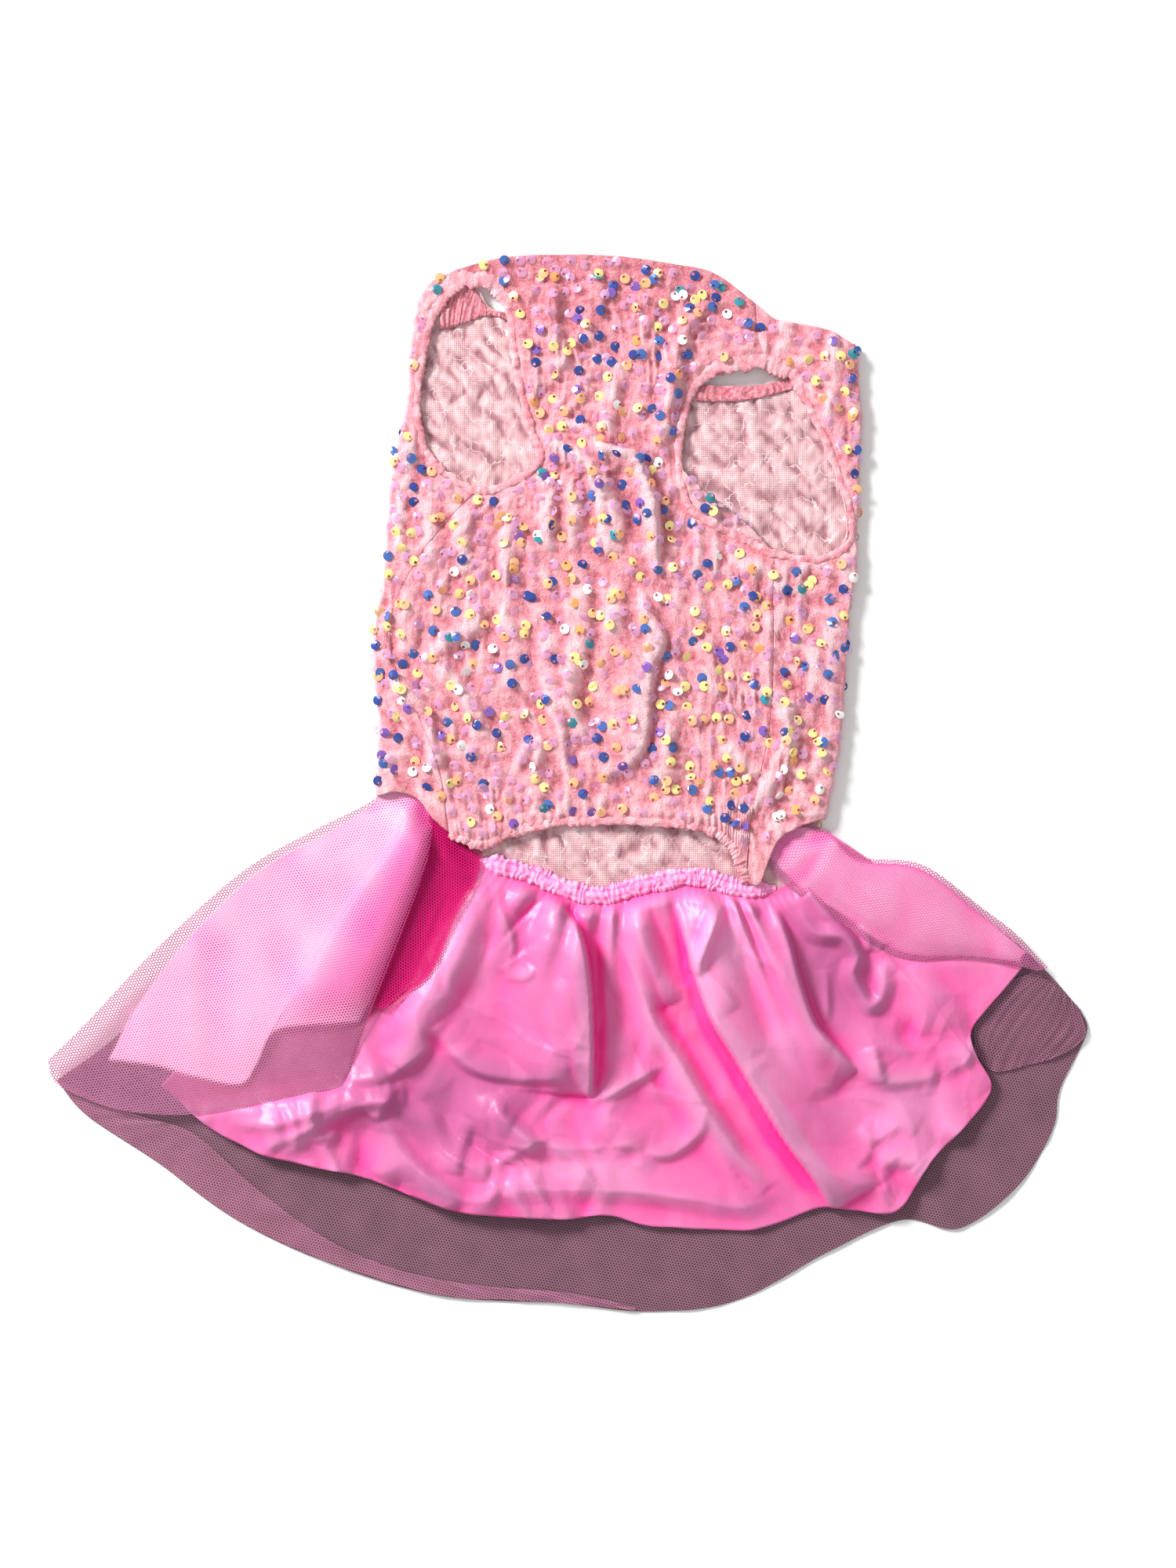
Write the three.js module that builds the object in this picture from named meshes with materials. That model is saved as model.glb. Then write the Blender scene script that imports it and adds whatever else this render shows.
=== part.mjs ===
// A pet dress laid flat on its back, belly side up: a sequinned velvet bodice with two leg holes
// and a belly cut-away, and a gathered satin skirt with a net overskirt, folded over at both sides.
// Millimetres. +X is across the dress, +Y towards the neck, +Z up from the surface it lies on.

import * as THREE from 'three';

// Driving dimensions
const VELVET = 1.5; // wall of the pile cloth
const SATIN = 1.1; // wall of the skirt cloth
const NET = 1.0; // wall of the net
const GAP = 0.3; // clearance between two pieces at a seam or where one lies on another
const BODICE_RISE = 3.7; // height of the belly side's underside over the surface
const FOLD_FADE = 9; // width over which creases die out beside a side fold or a bound edge
const EDGE_LEVEL = 10; // width of the level cloth along a bound edge
const WAIST_FADE = 15; // length over which skirt folds rise out of the waist seam
const HEM_END = 4; // how far the back neck hem stays inside the side folds
const NECK_STITCH = 13; // distance of the neck hem's stitching from the neck edge
const BINDING = { width: 7.5, height: 2.8 }; // rolled edge of a leg hole
const BELLY_HEM = { width: 9, height: 3, gathers: 34, ripple: 0.9 };
const CASING = { width: 8, height: 3.2, gathers: 42, ripple: 1.1 };

const ALONG = 23; // cells down the bodice, the same for its panels so that their seams match

const BACK_MID = VELVET / 2;
const FRONT_MID = BODICE_RISE + VELVET / 2;
const FOLD_RADIUS = (FRONT_MID - BACK_MID) / 2; // of the wall's middle, round a side fold
const FOLD_REACH = FOLD_RADIUS + VELVET / 2; // from a fold's centre to the outside of the wall
const SATIN_UNDER = NET + GAP + NET + GAP; // the skirt cloth's underside, over two thicknesses of net

// Stations of the bodice from neck to waist. fold: the side fold. wrap: the back panel's front edge,
// along the leg hole and then the side seam. belly: the belly panel's edge. Left, then right.
const STATIONS = [
  {
    foldL: [-64, 248.5], wrapL: [-53.5, 252], bellyL: [-53.5, 252],
    bellyR: [93, 235], wrapR: [93, 235], foldR: [142, 215.5],
  },
  {
    foldL: [-69.5, 243.5], wrapL: [-50, 247.5], bellyL: [-50, 247.5],
    bellyR: [94, 219.5], wrapR: [94, 219.5], foldR: [143.5, 207],
  },
  {
    foldL: [-73, 235.5], wrapL: [-59.5, 239.5], bellyL: [-34.5, 244],
    bellyR: [98, 207], wrapR: [98, 207], foldR: [144.5, 196.5],
  },
  {
    foldL: [-75.5, 224], wrapL: [-66, 226.5], bellyL: [-27.5, 231],
    bellyR: [80, 205], wrapR: [111, 201], foldR: [145, 186.5],
  },
  {
    foldL: [-77, 210], wrapL: [-69, 210], bellyL: [-26, 208],
    bellyR: [64.5, 197], wrapR: [117.5, 186.5], foldR: [145, 175],
  },
  {
    foldL: [-78, 192.5], wrapL: [-70, 192.5], bellyL: [-22.5, 186.5],
    bellyR: [58, 181], wrapR: [124.5, 168.5], foldR: [144.5, 161.5],
  },
  {
    foldL: [-81, 175], wrapL: [-68, 176.5], bellyL: [-19, 168.5],
    bellyR: [55.5, 154], wrapR: [133, 149.5], foldR: [144, 146.5],
  },
  {
    foldL: [-84, 161.5], wrapL: [-63.5, 161.5], bellyL: [-23, 154],
    bellyR: [61, 136.5], wrapR: [138, 133], foldR: [143.5, 133],
  },
  {
    foldL: [-85.5, 152], wrapL: [-54, 151.5], bellyL: [-31.5, 147],
    bellyR: [74.5, 122.5], wrapR: [137.5, 119], foldR: [143, 121.5],
  },
  {
    foldL: [-86.5, 140.5], wrapL: [-43, 143.5], bellyL: [-43, 143.5],
    bellyR: [87, 113.5], wrapR: [124.5, 110.5], foldR: [143, 113],
  },
  {
    foldL: [-88, 123], wrapL: [-56.5, 130], bellyL: [-56.5, 130],
    bellyR: [102, 109], wrapR: [102, 109], foldR: [142, 102],
  },
  {
    foldL: [-89.5, 102], wrapL: [-74, 107.5], bellyL: [-74, 107.5],
    bellyR: [101.5, 92.5], wrapR: [101.5, 92.5], foldR: [140, 86.5],
  },
  {
    foldL: [-94, 79], wrapL: [-85.5, 81], bellyL: [-85.5, 81],
    bellyR: [101.5, 69.5], wrapR: [101.5, 69.5], foldR: [138, 65.5],
  },
  {
    foldL: [-95, 58], wrapL: [-82.5, 54], bellyL: [-82.5, 54],
    bellyR: [101, 46], wrapR: [101, 46], foldR: [136.5, 44.5],
  },
  {
    foldL: [-92.5, 31], wrapL: [-70, 29], bellyL: [-70, 29],
    bellyR: [99, 23], wrapR: [99, 23], foldR: [134.5, 21],
  },
  {
    foldL: [-92, 9.5], wrapL: [-61.5, 6], bellyL: [-61.5, 6],
    bellyR: [93, 0], wrapR: [93, 0], foldR: [131, 0],
  },
  {
    foldL: [-92.3, 2.5], wrapL: [-59, -9], bellyL: [-59, -9],
    bellyR: [89.5, -16.5], wrapR: [89.5, -16.5], foldR: [129, -9],
  },
  {
    foldL: [-92.5, -5.5], wrapL: [-57, -24], bellyL: [-57, -24],
    bellyR: [85.5, -33], wrapR: [85.5, -33], foldR: [126.5, -17.5],
  },
];
const LEG_HOLE_STATIONS = { left: [1, 9], right: [2, 10] }; // first and last station of each hole

// Edges that run across, left to right
const NECK_FRONT = [
  [-53.5, 252], [-31.5, 257.5], [-8.5, 259], [22.5, 258.5], [49.5, 255], [72.5, 250], [93, 235],
];
const NECK_RIGHT = [[93, 235], [103, 227.5], [116.5, 225], [131, 222], [142, 215.5]];
const NECK_BACK = [
  [-64, 248.5], [-47, 245], [-38.5, 233.5], [-27.5, 230], [-8.5, 221.5], [18.5, 210],
  [41.5, 202], [61, 196.5], [88, 195], [109, 198.5], [124.5, 205.5], [142, 215.5],
];
const NECK_BACK_HEM = [
  [-66, 222], [-51, 225], [-38.5, 229.5], [-27.5, 226.5], [-10.5, 215.5], [14.5, 203],
  [38.5, 194.5], [60, 188], [88, 188], [111, 193.5], [127, 198.5], [139, 206],
];
const BELLY_ARCH = [
  [-57, -24], [-41.5, -31], [-27.5, -24], [-8.5, -19.5], [14.5, -18], [49.5, -19], [68.5, -21.5], [80, -27], [85.5, -33],
];
const WRAP_LEFT_HEM = [[-92.5, -5.5], [-85.5, -4], [-74, -7], [-65.5, -17], [-57, -24]];
const WRAP_RIGHT_HEM = [[85.5, -33], [97.5, -30], [107, -24], [118.5, -21.5], [126.5, -17.5]];
const WAIST = [
  [-92.5, -5.5], [-78, -20], [-60.5, -32.5], [-42.5, -41.5], [-27.5, -46], [-8.5, -52.5], [14.5, -58],
  [37.5, -54], [61, -49.5], [84, -54.5], [103, -54.5], [116.5, -46], [126.5, -17.5],
];

const CASING_LINE = [
  [-42.5, -37.5], [-31.5, -40], [-20, -43], [-8.5, -48], [3, -52.5], [15.5, -54.5], [26, -53], [37.5, -49.5],
  [49.5, -47], [61, -45.5], [70.5, -47], [80, -50], [91.5, -51.5], [103, -51],
];

// Gores of the skirt cloth and of the net, each from the waist seam to the hem
const SATIN_GORES = [
  { waist: [-62.5, -34.5], hem: [-199, -148] },
  { waist: [-43, -43.5], hem: [-166.5, -174] },
  { waist: [-29.5, -47.5], hem: [-129.5, -185] },
  { waist: [-16, -51.5], hem: [-93, -195] },
  { waist: [-2.5, -55.5], hem: [-54.5, -209] },
  { waist: [11, -59], hem: [-16, -211] },
  { waist: [26, -58], hem: [22.5, -212] },
  { waist: [41.5, -54.5], hem: [57, -217.5] },
  { waist: [57, -51.5], hem: [91.5, -218.5] },
  { waist: [72.5, -53.5], hem: [124.5, -207] },
  { waist: [88, -56.5], hem: [160, -210.5] },
  { waist: [103, -56], hem: [178.5, -185] },
  { waist: [115.5, -48.5], hem: [208, -151] },
  { waist: [123.5, -34], hem: [198.5, -123] },
  { waist: [127.5, -22.5], hem: [224.5, -89.5] },
];
const NET_GORES = [
  { waist: [-93, -7.5], hem: [-250, -145.5] },
  { waist: [-85.5, -15], hem: [-235.5, -162.5] },
  { waist: [-78, -22], hem: [-201, -185.5] },
  { waist: [-60.5, -34.5], hem: [-162.5, -213.5] },
  { waist: [-42.5, -43], hem: [-116.5, -235] },
  { waist: [-27.5, -47.5], hem: [-62.5, -251] },
  { waist: [-8.5, -54], hem: [-1, -255] },
  { waist: [14.5, -59.5], hem: [41.5, -259] },
  { waist: [37.5, -55.5], hem: [84, -253.5] },
  { waist: [61, -51], hem: [130, -229] },
  { waist: [84, -56], hem: [165, -214] },
  { waist: [103, -56], hem: [193.5, -218] },
  { waist: [111.5, -53], hem: [222.5, -196.5] },
  { waist: [119, -42.5], hem: [239, -169.5] },
  { waist: [124.5, -29], hem: [242.5, -150] },
  { waist: [126.5, -23], hem: [255.5, -122.5] },
  { waist: [128, -19.5], hem: [252.5, -111] },
];

// Creases: the middle line from one end over a middle point to the other, how far each flank
// reaches to its left and right on the way, and the height.
const BODICE_FOLDS = [
  { from: [-82, 150], over: [-86, 115], to: [-84, 80], left: 4, right: 4, high: 2 },
  { from: [-68, 140], over: [-70, 100], to: [-66, 60], left: 6, right: 6, high: 2.4 },
  { from: [-43, 125], over: [-45, 75], to: [-42, 20], left: 5, right: 4, high: 3.4 },
  { from: [-26, 135], over: [-28, 95], to: [-25, 70], left: 6, right: 5, high: 2.6 },
  { from: [-9, 140], over: [-11, 92], to: [-10, 15], left: 6, right: 5, high: 3.4 },
  { from: [4, 152], over: [5, 115], to: [9, 72], left: 5, right: 5, high: 3 },
  { from: [-20, 172], over: [12, 142], to: [30, 100], left: 5, right: 7, high: 4 },
  { from: [38, 200], over: [38, 110], to: [30, 20], left: 3.5, right: 14, high: 6 },
  { from: [53, 240], over: [54, 200], to: [47, 150], left: 5, right: 7, high: 4 },
  { from: [-5, 250], over: [-8, 228], to: [-4, 205], left: 7, right: 5, high: 2.6 },
  { from: [20, 245], over: [22, 215], to: [30, 190], left: 6, right: 6, high: 2.2 },
  { from: [-84, 56], over: [-66, 22], to: [-57, -16], left: 5, right: 6, high: 2.8 },
  { from: [100, 95], over: [101, 58], to: [90, -20], left: 4, right: 5, high: 3.2 },
  { from: [2, 60], over: [3, 28], to: [0, 4], left: 5, right: 5, high: 2.8 },
  { from: [58, 56], over: [62, 24], to: [56, -6], left: 6, right: 5, high: 2.4 },
  { from: [110, 92], over: [111, 40], to: [108, 14], left: 5, right: 5, high: 2.2 },
  { from: [123, 98], over: [124, 50], to: [122, 10], left: 5, right: 5, high: 2 },
  { from: [58, 130], over: [78, 96], to: [92, 84], left: 7, right: 5, high: 2.4 },
];
const SKIRT_FOLDS = [
  { from: [-12, -44], over: [7, -92], to: [9, -158], left: 4, right: 26, high: 12 },
  { from: [28, -50], over: [44, -112], to: [102, -200], left: 8, right: 8, high: 7 },
  { from: [50, -46], over: [57, -76], to: [64, -108], left: 7, right: 6, high: 10 },
  { from: [62, -78], over: [82, -126], to: [124, -206], left: 26, right: 4, high: 13 },
  { from: [78, -46], over: [71, -70], to: [64, -90], left: 7, right: 8, high: 8 },
  { from: [94, -48], over: [109, -80], to: [117, -124], left: 4, right: 18, high: 9 },
  { from: [116, -46], over: [138, -72], to: [142, -100], left: 8, right: 9, high: 5 },
  { from: [142, -76], over: [148, -112], to: [160, -80], left: 6, right: 6, high: 4.5 },
  { from: [-32, -44], over: [-30, -76], to: [-28, -98], left: 6, right: 7, high: 6 },
  { from: [-44, -42], over: [-56, -84], to: [-72, -118], left: 12, right: 12, high: 7 },
  { from: [-107, -150], over: [-86, -134], to: [-60, -128], left: 9, right: 9, high: 4 },
  { from: [-150, -176], over: [-112, -160], to: [-76, -154], left: 7, right: 9, high: 3.5 },
  { from: [-46, -204], over: [18, -198], to: [100, -202], left: 5, right: 5, high: 3.5 },
  { from: [-34, -128], over: [-6, -136], to: [12, -150], left: 8, right: 7, high: 4 },
  { from: [104, -190], over: [140, -204], to: [164, -206], left: 8, right: 6, high: 5 },
  { from: [130, -138], over: [148, -172], to: [164, -196], left: 10, right: 9, high: 5 },
  { from: [168, -88], over: [176, -120], to: [190, -142], left: 9, right: 9, high: 4 },
  { from: [-52, -130], over: [-46, -160], to: [-50, -196], left: 8, right: 6, high: 4 },
];

// The skirt's two folded-over sides, and where the net's edge is turned back on itself
const WING_LEFT_NET = {
  left: [
    [-85.5, -7.5], [-97, -11.5], [-124, -23], [-158.5, -43], [-201, -81], [-235.5, -117.5],
    [-254, -135.5],
  ],
  right: [
    [-75, -9.5], [-67.5, -19], [-68, -38.5], [-78, -67.5], [-92.5, -104], [-101, -127], [-108.5, -148],
  ],
  top: [[-85.5, -7.5], [-80, -7], [-75, -9.5]],
  bottom: [
    [-254, -135.5], [-250, -146.5], [-235.5, -154], [-216.5, -160], [-189.5, -162], [-162.5, -158.5],
    [-135.5, -153], [-108.5, -148],
  ],
};
const WING_LEFT_SATIN = {
  left: [
    [-83.5, -9], [-94, -13.5], [-116, -24], [-151, -43.5], [-185.5, -77], [-210.5, -110], [-224, -135],
  ],
  right: [[-76, -11.5], [-69, -20.5], [-69.5, -38.5], [-79.5, -67], [-94, -103], [-98, -110], [-101, -116]],
  top: [[-83.5, -9], [-79.5, -8.5], [-76, -11.5]],
  bottom: [
    [-224, -135], [-201, -138], [-181.5, -143.5], [-160, -147], [-152, -138], [-143, -121],
    [-124, -117.5], [-101, -116],
  ],
};
const WING_RIGHT_NET = {
  left: [[105.5, -25.5], [101, -32], [96.5, -39]],
  right: [[236, -90], [231, -91.5], [227, -90.5]],
  top: [[105.5, -25.5], [127, -25], [144, -35.5], [174.5, -39.5], [203.5, -60.5], [220, -73], [236, -90]],
  bottom: [[96.5, -39], [113, -53], [131, -64.5], [151.5, -79.5], [170.5, -86.5], [198, -86], [227, -90.5]],
};
const WING_RIGHT_SATIN = {
  left: [[107, -27], [104, -32], [103, -38]],
  right: [[225, -82.5], [223, -85], [222.5, -87]],
  top: [[107, -27], [127, -26.5], [143, -37.5], [173, -41.5], [201.5, -62.5], [213, -72], [225, -82.5]],
  bottom: [[103, -38], [118, -51], [133, -62.5], [153, -77], [170.5, -84], [198, -84.5], [222.5, -87]],
};
const TURNBACK_LEFT = {
  left: [[-228, -156], [-240, -149], [-250, -145]],
  right: [[11.5, -245], [11.5, -250], [11.5, -256]],
  top: [
    [-228, -156], [-205, -164], [-182, -172], [-150, -200], [-116, -224], [-80, -239], [-42, -246],
    [11.5, -245],
  ],
  bottom: [
    [-250, -145], [-235.5, -162], [-201, -185], [-162.5, -213], [-116.5, -234.5], [-62.5, -250.5],
    [-28, -253], [11.5, -256],
  ],
};
const TURNBACK_RIGHT = {
  left: [[229, -92], [212, -100], [201, -116], [200.5, -132]],
  right: [[251, -109], [255, -122], [248, -130], [238, -135]],
  top: [[229, -92], [240, -99], [251, -109]],
  bottom: [[200.5, -132], [210, -141], [226, -138], [238, -135]],
};

// A smooth line through points, as a function of 0 to 1 that reaches them at even steps
function curve(points) {
  const places = points.map(([x, y]) => new THREE.Vector3(x, y, 0));
  const line = new THREE.CatmullRomCurve3(places, false, 'catmullrom', 0.5);
  return (t) => {
    const p = line.getPoint(Math.min(1, Math.max(0, t)));
    return [p.x, p.y];
  };
}

// A side of a bodice panel: smooth down the shoulder seam, the leg hole and the side seam, with a
// corner where one meets the next. It is moved across by the given distance.
function seamed(name, [first, last], across) {
  const points = STATIONS.map((s) => [s[name][0] + across, s[name][1]]);
  const ends = [0, first, last, points.length - 1];
  const parts = [0, 1, 2].map((i) => curve(points.slice(ends[i], ends[i + 1] + 1)));
  return (t) => {
    const place = t * (points.length - 1);
    const i = place < first ? 0 : (place < last ? 1 : 2);
    return parts[i]((place - ends[i]) / (ends[i + 1] - ends[i]));
  };
}

// A Coons patch: the plan position of (u, v), u from left to right and v from top to bottom. A side
// is a list of points or a function of 0 to 1.
function patch({ left, right, top, bottom }) {
  const line = (side) => (typeof side === 'function' ? side : curve(side));
  const [l, r, t, b] = [line(left), line(right), line(top), line(bottom)];
  return (u, v) => {
    const mix = (i) => (1 - v) * t(u)[i] + v * b(u)[i] + (1 - u) * l(v)[i] + u * r(v)[i]
      - (1 - u) * (1 - v) * t(0)[i] - u * (1 - v) * t(1)[i] - (1 - u) * v * b(0)[i] - u * v * b(1)[i];
    return [mix(0), mix(1)];
  };
}

const smoothstep = (low, high, x) => THREE.MathUtils.smoothstep(x, low, high);

// The nearest place on a polyline: how far along (0 to 1) and how far off, positive to the left of travel
function offLine(line, x, y) {
  let best = { away: Infinity, along: 0, off: 0 };
  for (let i = 0; i < line.length - 1; i += 1) {
    const [ax, ay] = line[i];
    const [dx, dy] = [line[i + 1][0] - ax, line[i + 1][1] - ay];
    const length = Math.hypot(dx, dy);
    const t = Math.min(1, Math.max(0, ((x - ax) * dx + (y - ay) * dy) / (length * length)));
    const away = Math.hypot(x - ax - t * dx, y - ay - t * dy);
    if (away < best.away) {
      best = { away, along: (i + t) / (line.length - 1), off: ((y - ay) * dx - (x - ax) * dy) / length };
    }
  }
  return best;
}

const LINE_STEPS = 8;
const sampled = (points, steps) => Array.from({ length: steps + 1 }, (_, i) => curve(points)(i / steps));

// The height that a table of creases adds at a place: a rounded ridge on each line, low at both ends
function creaseHeight(table) {
  const folds = table.map((f) => ({ ...f, line: sampled([f.from, f.over, f.to], LINE_STEPS) }));
  return (x, y) => folds.reduce((sum, f) => {
    const { away, along, off } = offLine(f.line, x, y);
    const reach = off > 0 ? f.left : f.right;
    const q = Math.min(1, away / reach);
    return sum + f.high * (1 - q * q) ** 2 * Math.sqrt(Math.sin(Math.PI * along));
  }, 0);
}

const column = (name) => STATIONS.map((s) => s[name]);
const bodiceCreases = creaseHeight(BODICE_FOLDS);
const skirtCreases = creaseHeight(SKIRT_FOLDS);
const foldLines = [sampled(column('foldL'), 32), sampled(column('foldR'), 32)];
const boundEdges = [
  sampled(legHole('bellyL', 'wrapL', LEG_HOLE_STATIONS.left), 40),
  sampled(legHole('bellyR', 'wrapR', LEG_HOLE_STATIONS.right), 40),
  sampled(BELLY_ARCH, 24),
];
const waistLine = sampled(WAIST, 36);
const neckLine = sampled(NECK_FRONT, 18);

// The middle of the bodice's belly side: level, creased, pressed down at the neck hem's stitching
function frontMiddle(x, y) {
  const nearest = (lines) => Math.min(...lines.map((line) => offLine(line, x, y).away));
  const beside = nearest(foldLines);
  const stitching = 1 - 0.5 * Math.exp(-(((offLine(neckLine, x, y).away - NECK_STITCH) / 3) ** 2));
  const fade = smoothstep(FOLD_REACH, FOLD_REACH + FOLD_FADE, beside)
    * smoothstep(EDGE_LEVEL, EDGE_LEVEL + FOLD_FADE, nearest(boundEdges));
  return FRONT_MID + bodiceCreases(x, y) * fade * stitching;
}

// The top of the skirt cloth: level at the waist seam, then creased
function satinTop(x, y) {
  const away = offLine(waistLine, x, y).away;
  return SATIN_UNDER + SATIN + skirtCreases(x, y) * smoothstep(1, WAIST_FADE, away);
}

function body(points, index) {
  const geometry = new THREE.BufferGeometry();
  geometry.setAttribute('position', new THREE.Float32BufferAttribute(points.flat(), 3));
  geometry.setIndex(index);
  return geometry;
}

// A closed wall from two grids of points of the same size, one on each face
function wall(outer, inner) {
  const rows = outer.length;
  const columns = outer[0].length;
  const at = (row, col) => row * columns + col;
  const under = (row, col) => rows * columns + at(row, col);
  const index = [];
  const quad = (a, b, c, d) => index.push(a, b, c, a, c, d);
  const [lastRow, lastCol] = [rows - 1, columns - 1];
  for (let row = 0; row < lastRow; row += 1) {
    for (let col = 0; col < lastCol; col += 1) {
      quad(at(row, col), at(row + 1, col), at(row + 1, col + 1), at(row, col + 1));
      quad(under(row, col), under(row, col + 1), under(row + 1, col + 1), under(row + 1, col));
    }
    quad(at(row, 0), under(row, 0), under(row + 1, 0), at(row + 1, 0));
    quad(at(row, lastCol), at(row + 1, lastCol), under(row + 1, lastCol), under(row, lastCol));
  }
  for (let col = 0; col < lastCol; col += 1) {
    quad(at(0, col), at(0, col + 1), under(0, col + 1), under(0, col));
    quad(at(lastRow, col), under(lastRow, col), under(lastRow, col + 1), at(lastRow, col + 1));
  }
  return body([...outer.flat(), ...inner.flat()], index);
}

// A panel that lies over the surface: a plan patch with its top and bottom given as heights
function panel(plan, columns, rows, top, bottom) {
  const face = (height) => Array.from({ length: rows + 1 }, (_, row) => (
    Array.from({ length: columns + 1 }, (__, col) => {
      const [u, v] = [col / columns, row / rows];
      const [x, y] = plan(u, v);
      return [x, y, height(x, y, u, v)];
    })));
  return wall(face(top), face(bottom));
}

// The back panel goes from the left seam round the left side fold, under the whole bodice, round the
// right side fold and up to the right seam, so each station is a flattened C in its middle surface.
const WRAP_CELLS = { left: 3, right: 6, arc: 3, under: 18 };

function backPanel() {
  const inset = (points, by) => points.map(([x, y]) => [x + by, y]);
  const leftFold = inset(column('foldL'), FOLD_REACH);
  const rightFold = inset(column('foldR'), -FOLD_REACH);
  const ends = (points, first, last) => [first, ...points.slice(1, -1), last];
  const under = patch({
    left: leftFold,
    right: rightFold,
    top: ends(NECK_BACK, leftFold[0], rightFold[0]),
    bottom: ends(WAIST, leftFold.at(-1), rightFold.at(-1)),
  });
  const leftWrap = patch({
    left: leftFold,
    right: seamed('wrapL', LEG_HOLE_STATIONS.left, 0),
    top: [leftFold[0], [-57.5, 250.5], STATIONS[0].wrapL],
    bottom: ends(WRAP_LEFT_HEM, leftFold.at(-1), STATIONS.at(-1).wrapL),
  });
  const seam = seamed('wrapR', LEG_HOLE_STATIONS.right, GAP);
  const rightWrap = patch({
    left: seam,
    right: rightFold,
    top: ends(NECK_RIGHT, seam(0), rightFold[0]),
    bottom: ends(WRAP_RIGHT_HEM, seam(1), rightFold.at(-1)),
  });
  const face = (side) => Array.from({ length: ALONG + 1 }, (_, row) => {
    const v = row / ALONG;
    const points = [];
    const flat = (plan, u, isTop) => {
      const [x, y] = plan(u, v);
      const middle = isTop ? frontMiddle(x, y) : BACK_MID;
      points.push([x, y, middle + (isTop ? side : -side) * (VELVET / 2)]);
    };
    const arc = (x, y, facing) => {
      for (let k = 1; k < WRAP_CELLS.arc; k += 1) {
        const turn = (k / WRAP_CELLS.arc) * Math.PI;
        const radius = FOLD_RADIUS + side * (VELVET / 2);
        const angle = facing < 0 ? turn : Math.PI - turn;
        const height = BACK_MID + FOLD_RADIUS + radius * Math.cos(angle);
        points.push([x + facing * radius * Math.sin(angle), y, height]);
      }
    };
    for (let k = WRAP_CELLS.left; k >= 0; k -= 1) flat(leftWrap, k / WRAP_CELLS.left, true);
    arc(...under(0, v), -1);
    for (let k = 0; k <= WRAP_CELLS.under; k += 1) flat(under, k / WRAP_CELLS.under, false);
    arc(...under(1, v), 1);
    for (let k = WRAP_CELLS.right; k >= 0; k -= 1) flat(rightWrap, k / WRAP_CELLS.right, true);
    return points;
  });
  return wall(face(-1), face(1));
}

// A band laid along a line: a flat-bottomed, round-topped section of the given width and height, which
// may be gathered into small waves. base gives the height of what it lies on.
const BAND_SECTION = [[-1, 0], [-0.85, 0.62], [0, 1], [0.85, 0.62], [1, 0]]; // across, up

function band(line, steps, size, base, closed = false) {
  const at = curve(line);
  const count = closed ? steps : steps + 1;
  const section = (k) => {
    const t = k / steps;
    const [x, y] = at(t);
    const [x0, y0] = at(closed ? (t - 0.5 / steps + 1) % 1 : t - 0.5 / steps);
    const [x1, y1] = at(closed ? (t + 0.5 / steps) % 1 : t + 0.5 / steps);
    const length = Math.hypot(x1 - x0, y1 - y0);
    const [nx, ny] = [-(y1 - y0) / length, (x1 - x0) / length];
    const wave = (size.ripple ?? 0) * Math.cos(2 * Math.PI * (size.gathers ?? 0) * t);
    return BAND_SECTION.map(([across, up]) => {
      const [px, py] = [x + nx * across * (size.width / 2), y + ny * across * (size.width / 2)];
      return [px, py, base(px, py) + GAP + up * (size.height + wave)];
    });
  };
  const sections = Array.from({ length: count }, (_, k) => section(k));
  return tube(sections, closed);
}

// A closed body from rings of points along a line, with end caps unless it closes on itself
function tube(sections, closed) {
  const around = sections[0].length;
  const index = [];
  const at = (k, j) => (k % sections.length) * around + (j % around);
  const last = closed ? sections.length : sections.length - 1;
  for (let k = 0; k < last; k += 1) {
    for (let j = 0; j < around; j += 1) {
      index.push(at(k, j), at(k + 1, j), at(k + 1, j + 1), at(k, j), at(k + 1, j + 1), at(k, j + 1));
    }
  }
  if (!closed) {
    for (let j = 1; j < around - 1; j += 1) {
      index.push(at(0, 0), at(0, j), at(0, j + 1));
      index.push(at(sections.length - 1, 0), at(sections.length - 1, j + 1), at(sections.length - 1, j));
    }
  }
  return body(sections.flat(), index);
}

// A leg hole's outline: the belly panel's edge one way and the back panel's edge back again
function legHole(bellySide, wrapSide, [first, last]) {
  const down = STATIONS.slice(first, last + 1).map((s) => s[bellySide]);
  const up = STATIONS.slice(first + 1, last).map((s) => s[wrapSide]).reverse();
  return [...down, ...up, down[0]];
}

const bodiceTop = (x, y) => frontMiddle(x, y) + VELVET / 2;
const binding = (bellySide, wrapSide, stations) => (
  band(legHole(bellySide, wrapSide, stations), 44, BINDING, bodiceTop, true));

function bellyPanel() {
  const left = seamed('bellyL', LEG_HOLE_STATIONS.left, GAP);
  const right = seamed('bellyR', LEG_HOLE_STATIONS.right, -GAP);
  const plan = patch({
    left,
    right,
    top: [left(0), ...NECK_FRONT.slice(1, -1), right(0)],
    bottom: [left(1), ...BELLY_ARCH.slice(1, -1), right(1)],
  });
  return panel(plan, 30, ALONG, bodiceTop, (x, y) => frontMiddle(x, y) - VELVET / 2);
}

function neckBackHem() {
  const narrowed = (points) => [
    [points[0][0] + HEM_END, points[0][1]],
    ...points.slice(1, -1),
    [points.at(-1)[0] - HEM_END, points.at(-1)[1]],
  ];
  const [top, bottom] = [narrowed(NECK_BACK), narrowed(NECK_BACK_HEM)];
  const plan = patch({ top, bottom, left: [top[0], bottom[0]], right: [top.at(-1), bottom.at(-1)] });
  const low = VELVET + GAP;
  return panel(plan, 30, 1, () => low + VELVET, () => low);
}

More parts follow.
